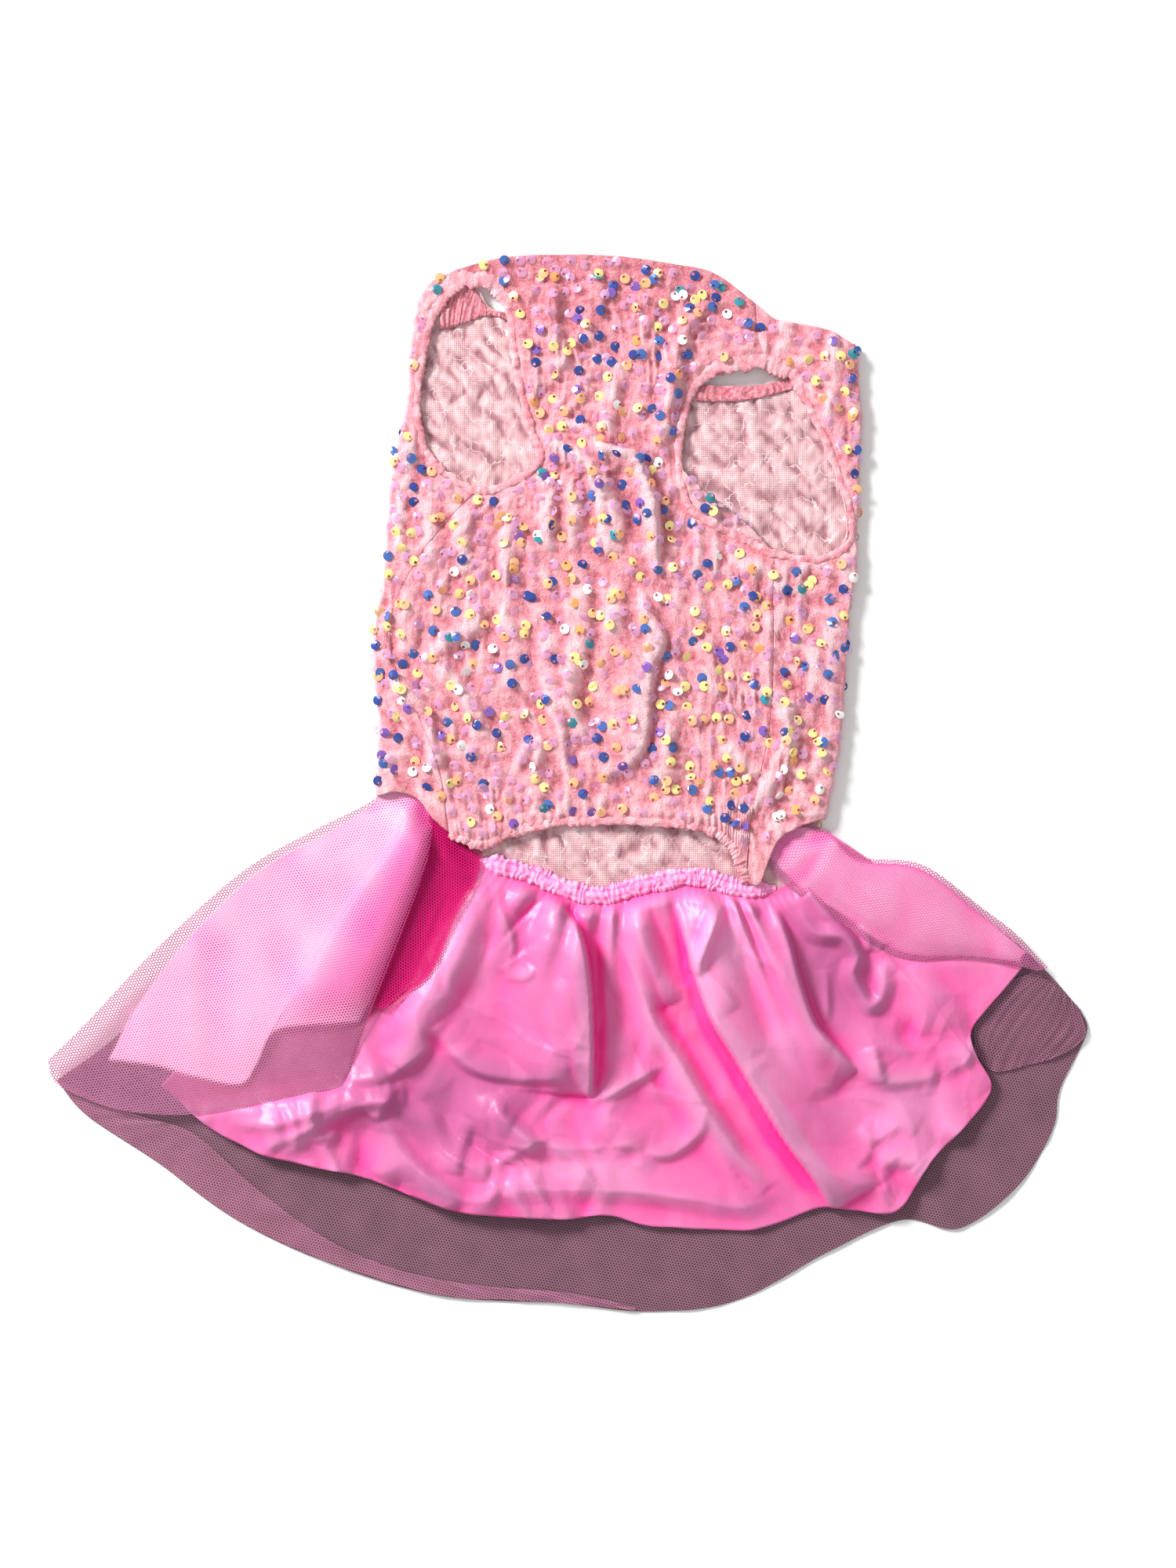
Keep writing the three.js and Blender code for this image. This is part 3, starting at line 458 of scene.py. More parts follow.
class Finish:
    """A material. node() adds any node, and surface() sets the sockets of its Principled shader."""

    def __init__(self, name):
        self.material = bpy.data.materials.new(name)
        self.material.use_nodes = True
        self.tree = self.material.node_tree
        self.shader = self.tree.nodes["Principled BSDF"]
        self.place = self.node("ShaderNodeTexCoord", out="Object")

    def put(self, socket, value):
        """Links a wire to a socket, or sets the value that stands in it."""
        if isinstance(value, Wire):
            self.tree.links.new(value.socket, socket)
        elif isinstance(value, tuple) and len(value) == 3 and socket.type == "RGBA":
            socket.default_value = (*value, 1)
        else:
            socket.default_value = value

    def node(self, kind, settings=None, values=(), out=0):
        made = self.tree.nodes.new(kind)
        for key, value in (settings or {}).items():
            if key == "stops":
                elements = made.color_ramp.elements
                while len(elements) < len(value):
                    elements.new(1)
                for element, (position, shade) in zip(elements, value):
                    element.position = position
                    element.color = (*shade, 1)
            elif key == "steps":
                made.color_ramp.interpolation = value
            else:
                setattr(made, key, value)
        pairs = values.items() if isinstance(values, dict) else enumerate(values)
        for key, value in pairs:
            self.put(made.inputs[key], value)
        return Wire(self, made.outputs[out])

    def vector(self, operation, *values, out=0):
        """A Vector Math node."""
        return self.node("ShaderNodeVectorMath", {"operation": operation}, values, out)

    def blend(self, share, first, second):
        """The second colour over the first by a share."""
        return self.node("ShaderNodeMix", {"data_type": "RGBA"}, {0: share, 6: first, 7: second}, out=2)

    def ramp(self, value, stops):
        """A colour for a value, even between the stops."""
        return self.node("ShaderNodeValToRGB", {"stops": stops}, [value])

    def texture(self, scale, detail=2.0, rough=0.5, place=None):
        """Noise from 0 to 1, with a scale in lumps per metre."""
        values = {"Vector": place or self.place, "Scale": scale, "Detail": detail, "Roughness": rough}
        return self.node("ShaderNodeTexNoise", None, values)

    def stretched(self, x, y, z=1.0, turn=0.0):
        """The place with each axis stretched by a factor, after a turn about Z in radians."""
        values = {"Vector": self.place, "Rotation": (0, 0, turn), "Scale": (x, y, z)}
        return self.node("ShaderNodeMapping", None, values)

    def value(self, name):
        """A point attribute of the piece."""
        return self.node("ShaderNodeAttribute", {"attribute_name": name}, out="Fac")

    def relief(self, height, depth, strength=1.0, under=None):
        """A Bump node: depth is the height of the relief in metres where the input goes from 0 to 1."""
        values = {"Height": height, "Distance": depth, "Strength": strength}
        if under is not None:
            values["Normal"] = under
        return self.node("ShaderNodeBump", None, values)

    def surface(self, **sockets):
        """Sets the shader's sockets, named with _ for a space, and gives the material."""
        for key, value in sockets.items():
            self.put(self.shader.inputs[key.replace("_", " ")], value)
        return self.material


def velvet_finish(name, lift=0.0):
    """Rose pink pile, painted deeper as shade in a hollow or where it leans away from the light, and paler
    along a ridge as highlight, by its crest value; pale in random patches and streaks where it is crushed,
    with a fine nap of pale specks and a strong soft sheen. A lift above 0 makes it paler all over, and one
    below 0 deeper."""
    look = Finish(name)
    patches = look.texture(90, 3, 0.6)
    streaks = look.texture(1, 3, 0.65, look.stretched(420, 150, 200))
    nap = look.texture(1000, 4, 0.75)
    # Painted shade in hollows and painted highlight on ridges, from the crest value
    light = look.value("crest") + patches * 0.5 + streaks * 0.6 - 0.6 + lift
    colour = look.ramp(light, [
        (0.0, (0.62, 0.06, 0.115)), (0.3, (0.83, 0.18, 0.25)), (0.6, (0.96, 0.34, 0.41)),
        (1.0, (1.0, 0.58, 0.64))])
    specks = look.texture(430, 4, 0.7)
    colour = look.blend(nap ** 2 * 0.5 + specks ** 4 * 1.8, colour, (1.0, 0.74, 0.79))
    bumps = look.relief(streaks, 1.1 * MM, 0.7)
    return look.surface(
        Base_Color=colour, Roughness=0.85, Sheen_Weight=0.3, Sheen_Roughness=0.45,
        Sheen_Tint=(1.0, 0.74, 0.80), Specular_IOR_Level=0.15,
        Normal=look.relief(nap + specks, 0.9 * MM, 1.0, bumps))


LOOP_THREAD = 0.022  # half width of the thread loops on the reverse, in cells of their pattern


def reverse_finish():
    """The knitted back of the velvet: pale dusty pink, painted deeper in the hollows of its puckers as
    shade and paler on their tops as highlight, in fine columns of stitches, with the loops of the pale
    thread that holds the sequins."""
    look = Finish("velvet_reverse")
    ribs = {"Vector": look.place, "Distortion": 1.5, "Detail": 1.0, "Detail Scale": 2.0}
    wales = look.node("ShaderNodeTexWave", {"bands_direction": "X"}, {**ribs, "Scale": 330})
    courses = look.node("ShaderNodeTexWave", {"bands_direction": "Y"}, {**ribs, "Scale": 300})
    mottle = look.texture(60, 4, 0.6)
    light = look.value("crest") * 1.4 + mottle * 0.6 - 0.5
    colour = look.ramp(light, [
        (0.0, (0.38, 0.17, 0.20)), (0.4, (0.64, 0.36, 0.39)), (1.0, (0.80, 0.54, 0.56))])
    colour = look.blend(wales * courses * 0.35, colour, (0.62, 0.38, 0.41))
    warp = look.node(
        "ShaderNodeTexNoise", None, {"Vector": look.place, "Scale": 90, "Detail": 2.0}, out="Color")
    bent = look.vector("MULTIPLY_ADD", warp, (0.022, 0.022, 0.0), look.place)
    edge = look.node(
        "ShaderNodeTexVoronoi", {"feature": "DISTANCE_TO_EDGE", "voronoi_dimensions": "2D"},
        {"Vector": bent, "Scale": 78})
    loops = edge.math("LESS_THAN", edge, LOOP_THREAD)
    colour = look.blend(loops * 0.5, colour, (0.97, 0.80, 0.82))
    return look.surface(
        Base_Color=colour, Roughness=0.95, Sheen_Weight=0.2, Specular_IOR_Level=0.1,
        Normal=look.relief(wales * courses + loops * 2, 0.25 * MM, 0.7))


BACK_ROWS = 182
OVER_LEFT, BELOW, OVER_RIGHT, ROUND = 20, 178, 34, 10  # columns of the back panel's stretches
fold_radius = (VELVET_LEVEL - BACK_LEVEL) / 2
outside = [fold_radius + VELVET / 2, 0]
centre_left = lambda t: side_left(t) + outside
centre_right = lambda t: side_right(t) - outside
down = np.linspace(0, 1, BACK_ROWS)


def back_part(columns, left, right, top, bottom, height, towards_left=False):
    """A flat stretch of the back panel: the Coons patch between its four lines, at a height that is a
    function of the plan."""
    u, v = np.meshgrid(np.linspace(towards_left, 1 - towards_left, columns), down)
    plan = patch(left, right, through(top), through(bottom), u, v)
    return np.dstack([plan, height(plan[..., 0], plan[..., 1])])


def side_fold(centre, top, bottom, facing, turns, seed):
    """The half round where the back panel turns over at a side: a half circle between the two heights
    with its middle on the centre line, swollen and sunk a little along the fold."""
    half = (top - bottom)[:, None] / 2
    swell = 0.6 * MM * noise(centre[:, 1:2] / (8 * MM), 0.5, seed) * np.sin(turns) ** 2
    x = centre[:, 0:1] + facing * (half * np.sin(turns) + swell)
    z = bottom[:, None] + half * (1 + np.cos(turns))
    return np.dstack([x, np.broadcast_to(centre[:, 1:2], x.shape), z])


over_left = back_part(OVER_LEFT, centre_left, seam_left, NECK_WRAP_LEFT, HEM_WRAP_LEFT, belly_side, True)
below = back_part(BELOW, centre_left, centre_right, NECK_BACK, WAIST, back_inside)
over_right = back_part(
    OVER_RIGHT, seam_right, centre_right, NECK_WRAP_RIGHT, HEM_WRAP_RIGHT, belly_side, True)
turns = np.linspace(0, np.pi, ROUND)[None, 1:-1]
fold_left = side_fold(centre_left(down), over_left[:, -1, 2], below[:, 0, 2], -1, turns, 21)
fold_right = side_fold(centre_right(down), over_right[:, 0, 2], below[:, -1, 2], 1, turns[:, ::-1], 22)
back_points = np.concatenate([over_left, fold_left, below, fold_right, over_right], axis=1)

# The crest value paints shade in the hollows and highlight on the ridges of both faces
back_panel = cloth_mesh("back_panel_velvet", back_points, outward=-1, crest=crest(back_points[..., 2], 5))
thicken(back_panel, VELVET, inside=1)
back_panel.data.materials.append(velvet_finish("back_velvet"))
back_panel.data.materials.append(reverse_finish())
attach(back_panel, "root")
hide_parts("back_panel")

# The turned neck edge of the back panel
# A strip of the same velvet turned to the inside and drawn up on its stitching, so that it puckers. It
# shows through the leg holes, deeper pink than the knitted reverse below it, and is painted deeper still
# as the shade inside the holes.
HEM_TOP = [(-60, 248.5), *NECK_BACK[1:-1], (138, 215.5)]
HEM_LOW = [
    (-62, 222), (-51, 225), (-38.5, 229.5), (-27.5, 226.5), (-10.5, 215.5), (14.5, 203),
    (38.5, 194.5), (60, 188), (88, 188), (111, 193.5), (127, 198.5), (135, 206)]
NECK_PUCKERS = 64
HEM_WALL = 0.5 * MM

u, v = lattice(380, 11)
plan = strip(HEM_TOP, HEM_LOW, u, v)
wave = np.cos(2 * np.pi * (NECK_PUCKERS * u + 1.6 * noise(u * 34, v * 1.5, 41)))
pucker = 0.5 + 0.3 * wave + 0.2 * noise(u * 90, v * 4, 42)
stands = MM * (0.5 + 0.9 * pucker * np.sin(np.pi * np.clip(v, 0.02, 0.98)) ** 0.5)
height = back_inside(plan[..., 0], plan[..., 1]) + VELVET / 2 + stands
# The puckers paint shade in their troughs, and the lift of -0.35 paints the hem deeper, as the shade inside
# the leg holes
neck_back_hem = cloth_mesh("neck_back_hem_velvet", np.dstack([plan, height]), crest=pucker)
thicken(neck_back_hem, HEM_WALL)
neck_back_hem.data.materials.append(velvet_finish("hem_velvet", -0.35))
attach(neck_back_hem, "root")
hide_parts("neck_back_hem")

# The belly panel
# The narrower velvet panel on top, between the leg holes and down to the arched belly edge. It is drawn
# up along the arch, where small gathers fan out of the hem.
ARCH_GATHERS = 40
GATHER_HEIGHT = 0.6 * MM
GATHER_REACH = 9 * MM  # up from the arch
SEAM_GAP = 0.1 * MM

u, v = lattice(180, 222)
belly_left = cornered([SHOULDER_LEFT, HOLE_BELLY_LEFT, SIDE_SEAM_LEFT], SEAM_GAP)
belly_right = cornered([SHOULDER_RIGHT, HOLE_BELLY_RIGHT, SIDE_SEAM_RIGHT], -SEAM_GAP)
plan = patch(belly_left, belly_right, through(NECK_FRONT), through(BELLY_ARCH), u, v)
x, y = plan[..., 0], plan[..., 1]
from_arch = away_from(x, y, through(BELLY_ARCH))
gathers = np.cos(2 * np.pi * (ARCH_GATHERS * u + 0.8 * noise(u * 16, 0.5, 43)))
height = belly_side(x, y) + GATHER_HEIGHT * (1 + gathers) * np.exp(-from_arch / GATHER_REACH)
belly_points = np.dstack([plan, height])
# Painted shade: the crest darkens hollows and lightens ridges, and the neck, which leans away from the
# light, is painted deeper
shade = crest(height, 5) - 0.4 * ease(205 * MM, 240 * MM, y)  # deeper pink towards the neck
belly_panel = cloth_mesh("belly_panel_velvet", belly_points, crest=shade)
thicken(belly_panel, VELVET, inside=1)
belly_panel.data.materials.append(velvet_finish("belly_velvet"))
belly_panel.data.materials.append(bpy.data.materials["velvet_reverse"])
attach(belly_panel, "root")
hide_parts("belly_panel")

# The bound edges of the leg holes, and the belly arch's hem
# Each is a narrow roll of the velvet, turned over the raw edge and sewn down, a little gathered so that
# it can stretch.
ROLL_SIDES = 14
ROLL_RIPPLE = 0.1  # share of its size by which a roll swells and shrinks along the gathers
ON_PILE = 0.6 * MM  # middle of a roll over the middle of the velvet


def across_line(line, t, step, closed=False):
    """The points of a line at t, and the unit vectors to the left of its travel: square to the line from
    a step behind to a step ahead."""
    ahead, behind = (line((t + s) % 1 if closed else t + s) for s in (step, -step))
    along = ahead - behind
    along /= np.hypot(along[:, 0], along[:, 1])[:, None]
    return line(t), np.stack([-along[:, 1], along[:, 0]], 1)


def beside(middle, left, out):
    """The x and the y of the places at distances out to the left of a line's points."""
    return middle[:, 0:1] + left[:, 0:1] * out, middle[:, 1:2] + left[:, 1:2] * out


def roll(line, steps, wide, high, ripples, closed, seed):
    """An oval tube along a line. Its width and height swell and shrink with the ripples and with noise,
    and its middle lies on the belly side's pile."""
    t = np.linspace(0, 1, steps, endpoint=not closed)
    middle, left = across_line(line, t, 0.6 / steps, closed)
    turn = np.linspace(0, 2 * np.pi, ROLL_SIDES, endpoint=False)[None]
    ripple = np.cos(2 * np.pi * ripples * t[:, None] + 2.4 * noise(t[:, None] * 23, turn, seed))
    swell = (1 + ROLL_RIPPLE * ripple) * (1 + 0.4 * noise(t[:, None] * 61, turn * 0.9, seed + 1))
    out = swell * wide(t)[:, None] / 2 * np.cos(turn)
    up = swell * high / 2 * np.sin(turn)
    level = belly_side(middle[:, 0], middle[:, 1]) + ON_PILE
    return np.dstack([*beside(middle, left, out), level[:, None] + up])


def binding_width(t):
    """Wider at the top of the hole, where the strap between hole and neck turns over."""
    return MM * (3.8 + 4.4 * np.exp(-((np.minimum(t, 1 - t) / 0.1) ** 4)))


def trim(name, points, ring, node):
    """A finished roll of velvet that replaces a node."""
    patches = noise(points[..., 0] / (3 * MM), points[..., 1] / (3 * MM), 53)
    piece = cloth_mesh(name, points, outward=-1, ring=ring, crest=0.55 + 0.35 * patches)
    piece.data.materials.append(trim_finish)
    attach(piece, "root")
    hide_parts(node)


trim_finish = velvet_finish("trim_velvet", 0.06)
for side, edge in LEG_HOLES.items():
    points = roll(through(edge), 420, binding_width, 2.0 * MM, 74, True, 51)
    trim(f"leg_binding_{side}_velvet", points, (True, True), f"leg_binding_{side}")

hem_width = lambda t: np.full_like(t, 4.6 * MM)
points = roll(through(BELLY_ARCH), 460, hem_width, 2.4 * MM, 54, False, 61)
trim("belly_hem_velvet", points, (False, True), "belly_hem")

# The sequins
# About eighteen hundred loose cup sequins of 5 mm, stamped from thin pearly film in mixed colours. Each
# is sewn on by one hole near its rim, so they hang at all angles on the pile, front and back.
SEQUIN = 2.5 * MM  # radius
SEQUIN_HOLE = 0.31  # radius of the hole, its place and its rise, and the film, in radii of the sequin
HOLE_PLACE = 0.50
CUP_RISE = 0.17
FILM = 0.035
SEQUIN_PITCH = 8.7 * MM
ROW_SHARE = 0.9  # of the pitch, from one line of sequins to the next
SHAKE = 0.42  # of the pitch, by which each is out of line at most
CLOTH_MARGIN = 4 * MM  # bare, along the cloth's edges
BARE_EDGE = 3.6 * MM  # bare, along the bound edges
SEQUIN_SIDES = 12
SEQUIN_TILT = 0.24  # spread of the tilt on top
STEADY = 0.8  # how far the pile turns the sequins on top to face up
SEQUIN_LIFT = 1.25 * MM  # over the middle of the velvet, on top
UNDER_LIFT = 0.42 * MM  # over the table, underneath


def unit(vectors):
    return vectors / np.linalg.norm(vectors, axis=1)[:, None]


def length_along(points):
    """The length of a polyline up to each of its points."""
    return np.concatenate([[0], np.cumsum(np.linalg.norm(np.diff(points, axis=0), axis=1))])


def on_cloth(grid, row, col):
    """Points and unit normals at fractional rows and columns of a grid: the blend of the four points
    around, and the cross product of the cell's two diagonals."""
    i = np.clip(row.astype(int), 0, grid.shape[0] - 2)
    j = np.clip(col.astype(int), 0, grid.shape[1] - 2)
    a, b = (row - i)[:, None], (col - j)[:, None]
    p, q, r, s = grid[i, j], grid[i, j + 1], grid[i + 1, j], grid[i + 1, j + 1]
    place = (1 - a) * ((1 - b) * p + b * q) + a * ((1 - b) * r + b * s)
    return place, unit(np.cross(s - p, q - r))


def sewn_places(grid, seed):
    """Rows and columns of a lattice over a cloth, even along its surface and shaken by a share of the
    pitch: every second line is set half a pitch over."""
    shake = np.random.default_rng(seed)
    fall = length_along(grid[:, grid.shape[1] // 2])
    rows, cols = [], []
    for k, deep in enumerate(np.arange(CLOTH_MARGIN, fall[-1] - CLOTH_MARGIN, SEQUIN_PITCH * ROW_SHARE)):
        row = np.interp(deep, fall, np.arange(len(fall)))
        run = length_along(grid[int(row)])
        at = np.arange(CLOTH_MARGIN + (k % 2) * SEQUIN_PITCH / 2, run[-1] - CLOTH_MARGIN, SEQUIN_PITCH)
        at = at + shake.uniform(-SHAKE, SHAKE, len(at)) * SEQUIN_PITCH
        cols.append(np.interp(at, run, np.arange(len(run))))
        rows.append(row + shake.uniform(-SHAKE, SHAKE, len(at)) * SEQUIN_PITCH * len(fall) / fall[-1])
    return np.clip(np.concatenate(rows), 0, len(fall) - 1.01), np.concatenate(cols)


def cup_sequin():
    """One sequin about the origin, as a closed thin dish: a ring at the rim, one round the hole, and the
    same two underneath."""
    turn = 2 * np.pi * np.arange(SEQUIN_SIDES) / SEQUIN_SIDES
    rings = []
    for reach, centre, rise in ((1.0, 0, 0.0), (SEQUIN_HOLE, HOLE_PLACE, CUP_RISE)):
        rings.append(np.stack([reach * np.cos(turn) + centre, reach * np.sin(turn), rise + 0 * turn], 1))
    lower = [ring - [0, 0, FILM] for ring in rings[::-1]]
    return SEQUIN * np.array(rings + lower)


def scatter(name, places, normals, tilt, seed, shades):
    """Copies of the sequin at places, each turned about its cloth's normal by a random angle and tilted
    by a random share of the tilt, in radians. The shade is one number for each sequin."""
    shake = np.random.default_rng(seed)
    count = len(places)
    spin = shake.uniform(0, 2 * np.pi, count)
    up = unit(normals + shake.normal(0, tilt, (count, 3)))
    side = unit(np.cross(up, np.stack([np.cos(spin), np.sin(spin), 0.3 + 0 * spin], 1)))
    axes = np.stack([side, np.cross(up, side), up], 1)
    shape = cup_sequin()
    rings, sides = shape.shape[:2]
    points = (shape.reshape(-1, 3) @ axes) + places[:, None]
    one = quads(rings, sides, (True, True))[None, :, [0, 3, 2, 1]]
    faces = one + rings * sides * np.arange(count)[:, None, None]
    film = np.repeat(shades, rings * sides)
    return mesh_object(name, points.reshape(-1, 3), faces.reshape(-1, 4), film=film)


def film_finish():
    """Pearly film: mixed clear colours with a bright gloss, some of it see-through."""
    look = Finish("sequin_film")
    film = look.value("film")
    colours = [
        (0.0, (0.025, 0.06, 0.30)), (0.10, (0.05, 0.13, 0.42)), (0.18, (1.0, 0.80, 0.30)),
        (0.30, (1.0, 0.50, 0.25)), (0.45, (0.96, 0.95, 0.93)), (0.49, (0.22, 0.10, 0.46)),
        (0.54, (0.82, 0.46, 0.76)), (0.96, (0.95, 0.42, 0.14)), (0.98, (0.03, 0.28, 0.36))]
    colour = look.node("ShaderNodeValToRGB", {"stops": colours, "steps": "CONSTANT"}, [film])
    milky = film.math("GREATER_THAN", film, 0.54) * film.math("LESS_THAN", film, 0.96)
    return look.surface(
        Base_Color=colour, Roughness=0.22, Metallic=0.15, Specular_IOR_Level=0.6,
        Coat_Weight=0.2, Alpha=1 - milky * 0.66)


sequin_film = film_finish()
belly_rows, belly_cols = sewn_places(belly_points, 71)
places, normals = on_cloth(belly_points, belly_rows, belly_cols)
back_rows, back_cols = sewn_places(back_points, 73)
round_places, round_normals = on_cloth(back_points, back_rows, back_cols)
round_normals = -round_normals
away_from_edges = lambda p: away_from(p[:, 0], p[:, 1], *bound_edges) > BARE_EDGE
faces_up = round_normals[:, 2] > -0.2
upper = faces_up & away_from_edges(round_places)
kept = away_from_edges(places)
front_places = np.vstack([places[kept], round_places[upper]])
front_normals = np.vstack([normals[kept], round_normals[upper]])
shades = np.random.default_rng(75).uniform(0, 1, len(front_places))
steadied = unit(front_normals + [0, 0, STEADY])
lifted = front_places + steadied * SEQUIN_LIFT
front = scatter("sequins_front", lifted, steadied, SEQUIN_TILT, 77, shades)
flat_places = round_places[~faces_up] * [1, 1, 0] + [0, 0, UNDER_LIFT]
down_normals = np.tile([0, 0, -1.0], (len(flat_places), 1))
shades = np.random.default_rng(76).uniform(0, 1, len(flat_places))
back = scatter("sequins_back", flat_places, down_normals, 0.0, 79, shades)
for piece in (front, back):
    piece.data.materials.append(sequin_film)
    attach(piece, "root")

# The waist seam
# A hot pink gathered band over narrow elastic, which joins the skirt to the back panel. It is drawn up
# into small ruffles and sewn with two rows of pale thread.
CASING_LINE = [
    (-42.5, -37.5), (-31.5, -40), (-20, -43), (-8.5, -48), (3, -52.5), (15.5, -54.5), (26, -53),
    (37.5, -49.5), (49.5, -47), (61, -45.5), (70.5, -47), (80, -50), (91.5, -51.5), (103, -51)]
CASING_RUFFLES = 46
CASING_WIDTH = 9.5 * MM
CASING_HUMP = 2.8  # height of its middle, in millimetres
CASING_FOOT = 0.35 * MM  # the underside over the back panel's wall
CASING_EDGE = 0.45 * MM  # least height of the top over that wall


def casing_points(steps, across):
    """The gathered band as a closed tube, and how its top stands out from 0 to 1: a hump over a flat base,
    with ruffles that grow towards both edges and two grooves where it is stitched. It narrows in its
    first and last sixteenth."""
    t = np.linspace(0, 1, steps)[:, None]
    middle, left = across_line(through(CASING_LINE), t[:, 0], 0.5 / steps)
    s = np.linspace(1, -1, across)[None]
    wave = np.cos(2 * np.pi * (CASING_RUFFLES * t + 0.9 * noise(t * 34, s * 1.2, 81)))
    groove = np.exp(-(((np.abs(s) - 0.4) / 0.12) ** 2))
    lump = noise(t * 70, s * 2 + 9, 83)
    ruffle = (0.3 * wave + 0.6 * lump) * (0.45 + 0.55 * np.abs(s))
    top = MM * (CASING_HUMP * (1 - s ** 4) ** 0.5 + ruffle - 0.35 * groove)
    taper = 0.25 + 0.75 * ease(0, 0.06, t) * (1 - ease(0.94, 1, t))
    top = top * taper
    reach = CASING_WIDTH / 2 * taper * (1 + (0.08 * wave + 0.2 * noise(t * 45, s, 82)) * np.abs(s))
    base = np.full_like(top[:, :0:-1], CASING_FOOT)[:, :-1]
    out = np.concatenate([s * reach, (s * reach)[:, :0:-1][:, :-1]], 1)
    z = np.concatenate([np.maximum(top, CASING_EDGE), base], 1) + BACK_LEVEL + VELVET
    # How far the top stands out, which the finish turns into painted shade in the gathers and grooves
    ridges = np.concatenate([0.6 + 0.2 * wave + 0.3 * lump - 0.3 * groove, 0 * base], 1)
    return np.dstack([*beside(middle, left, out), z]), ridges


def casing_finish():
    """Hot pink stretch cloth, painted darker in the gathers and stitch grooves as shade, and paler on the
    ruffles' tops as highlight.
    """
    look = Finish("casing_cloth")
    mottle = look.texture(700, 3, 0.6)
    light = look.value("crest") * 0.7 + mottle * 0.5 - 0.1
    colour = look.ramp(light, [
        (0.0, (0.84, 0.05, 0.30)), (0.45, (0.98, 0.26, 0.56)), (1.0, (1.0, 0.58, 0.84))])
    return look.surface(
        Base_Color=colour, Roughness=0.6, Sheen_Weight=0.3, Sheen_Tint=(1.0, 0.7, 0.85),
        Normal=look.relief(mottle, 0.3 * MM, 0.7))


points, ruffled = casing_points(500, 15)
waist_casing = cloth_mesh("waist_casing_band", points, outward=-1, ring=(False, True), crest=ruffled)
waist_casing.data.materials.append(casing_finish())
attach(waist_casing, "root")
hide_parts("waist_casing")

# The satin skirt
# Pink polyester satin, gathered into the waist and lying inside out on the net. It falls in a billow on
# the left, a thin ridge, a great roll in the middle and looped folds on the right.
SATIN = 0.25 * MM  # wall
SATIN_LEVEL = 3.0 * MM  # of the cloth's middle where it has no fold
HEM_DROP = 1.1 * MM
WAIST_DROP = 0.9 * MM
SATIN_WAIST = [
    (-66, -12), (-45, -33.5), (-30, -40.5), (-15, -45), (-1, -51), (12, -54.2), (26, -53), (41, -48.8),
    (57, -46), (72, -47.3), (88, -51), (103, -51), (115, -43), (122.5, -31), (127.5, -22.5)]
SATIN_HEM = [
    (-199, -148), (-166.5, -174), (-129.5, -185), (-93, -195), (-54.5, -209), (-16, -211), (22.5, -212),
    (57, -217.5), (91.5, -218.5), (124.5, -207), (160, -210.5), (178.5, -185), (208, -151), (198.5, -123),
    (224.5, -89.5)]
WAIST_PLEATS = 12
WAIST_GATHERS = 58
LARGE_CREASE = 7  # heights of the two sizes of crease, in millimetres
SMALL_CREASE = 2.2
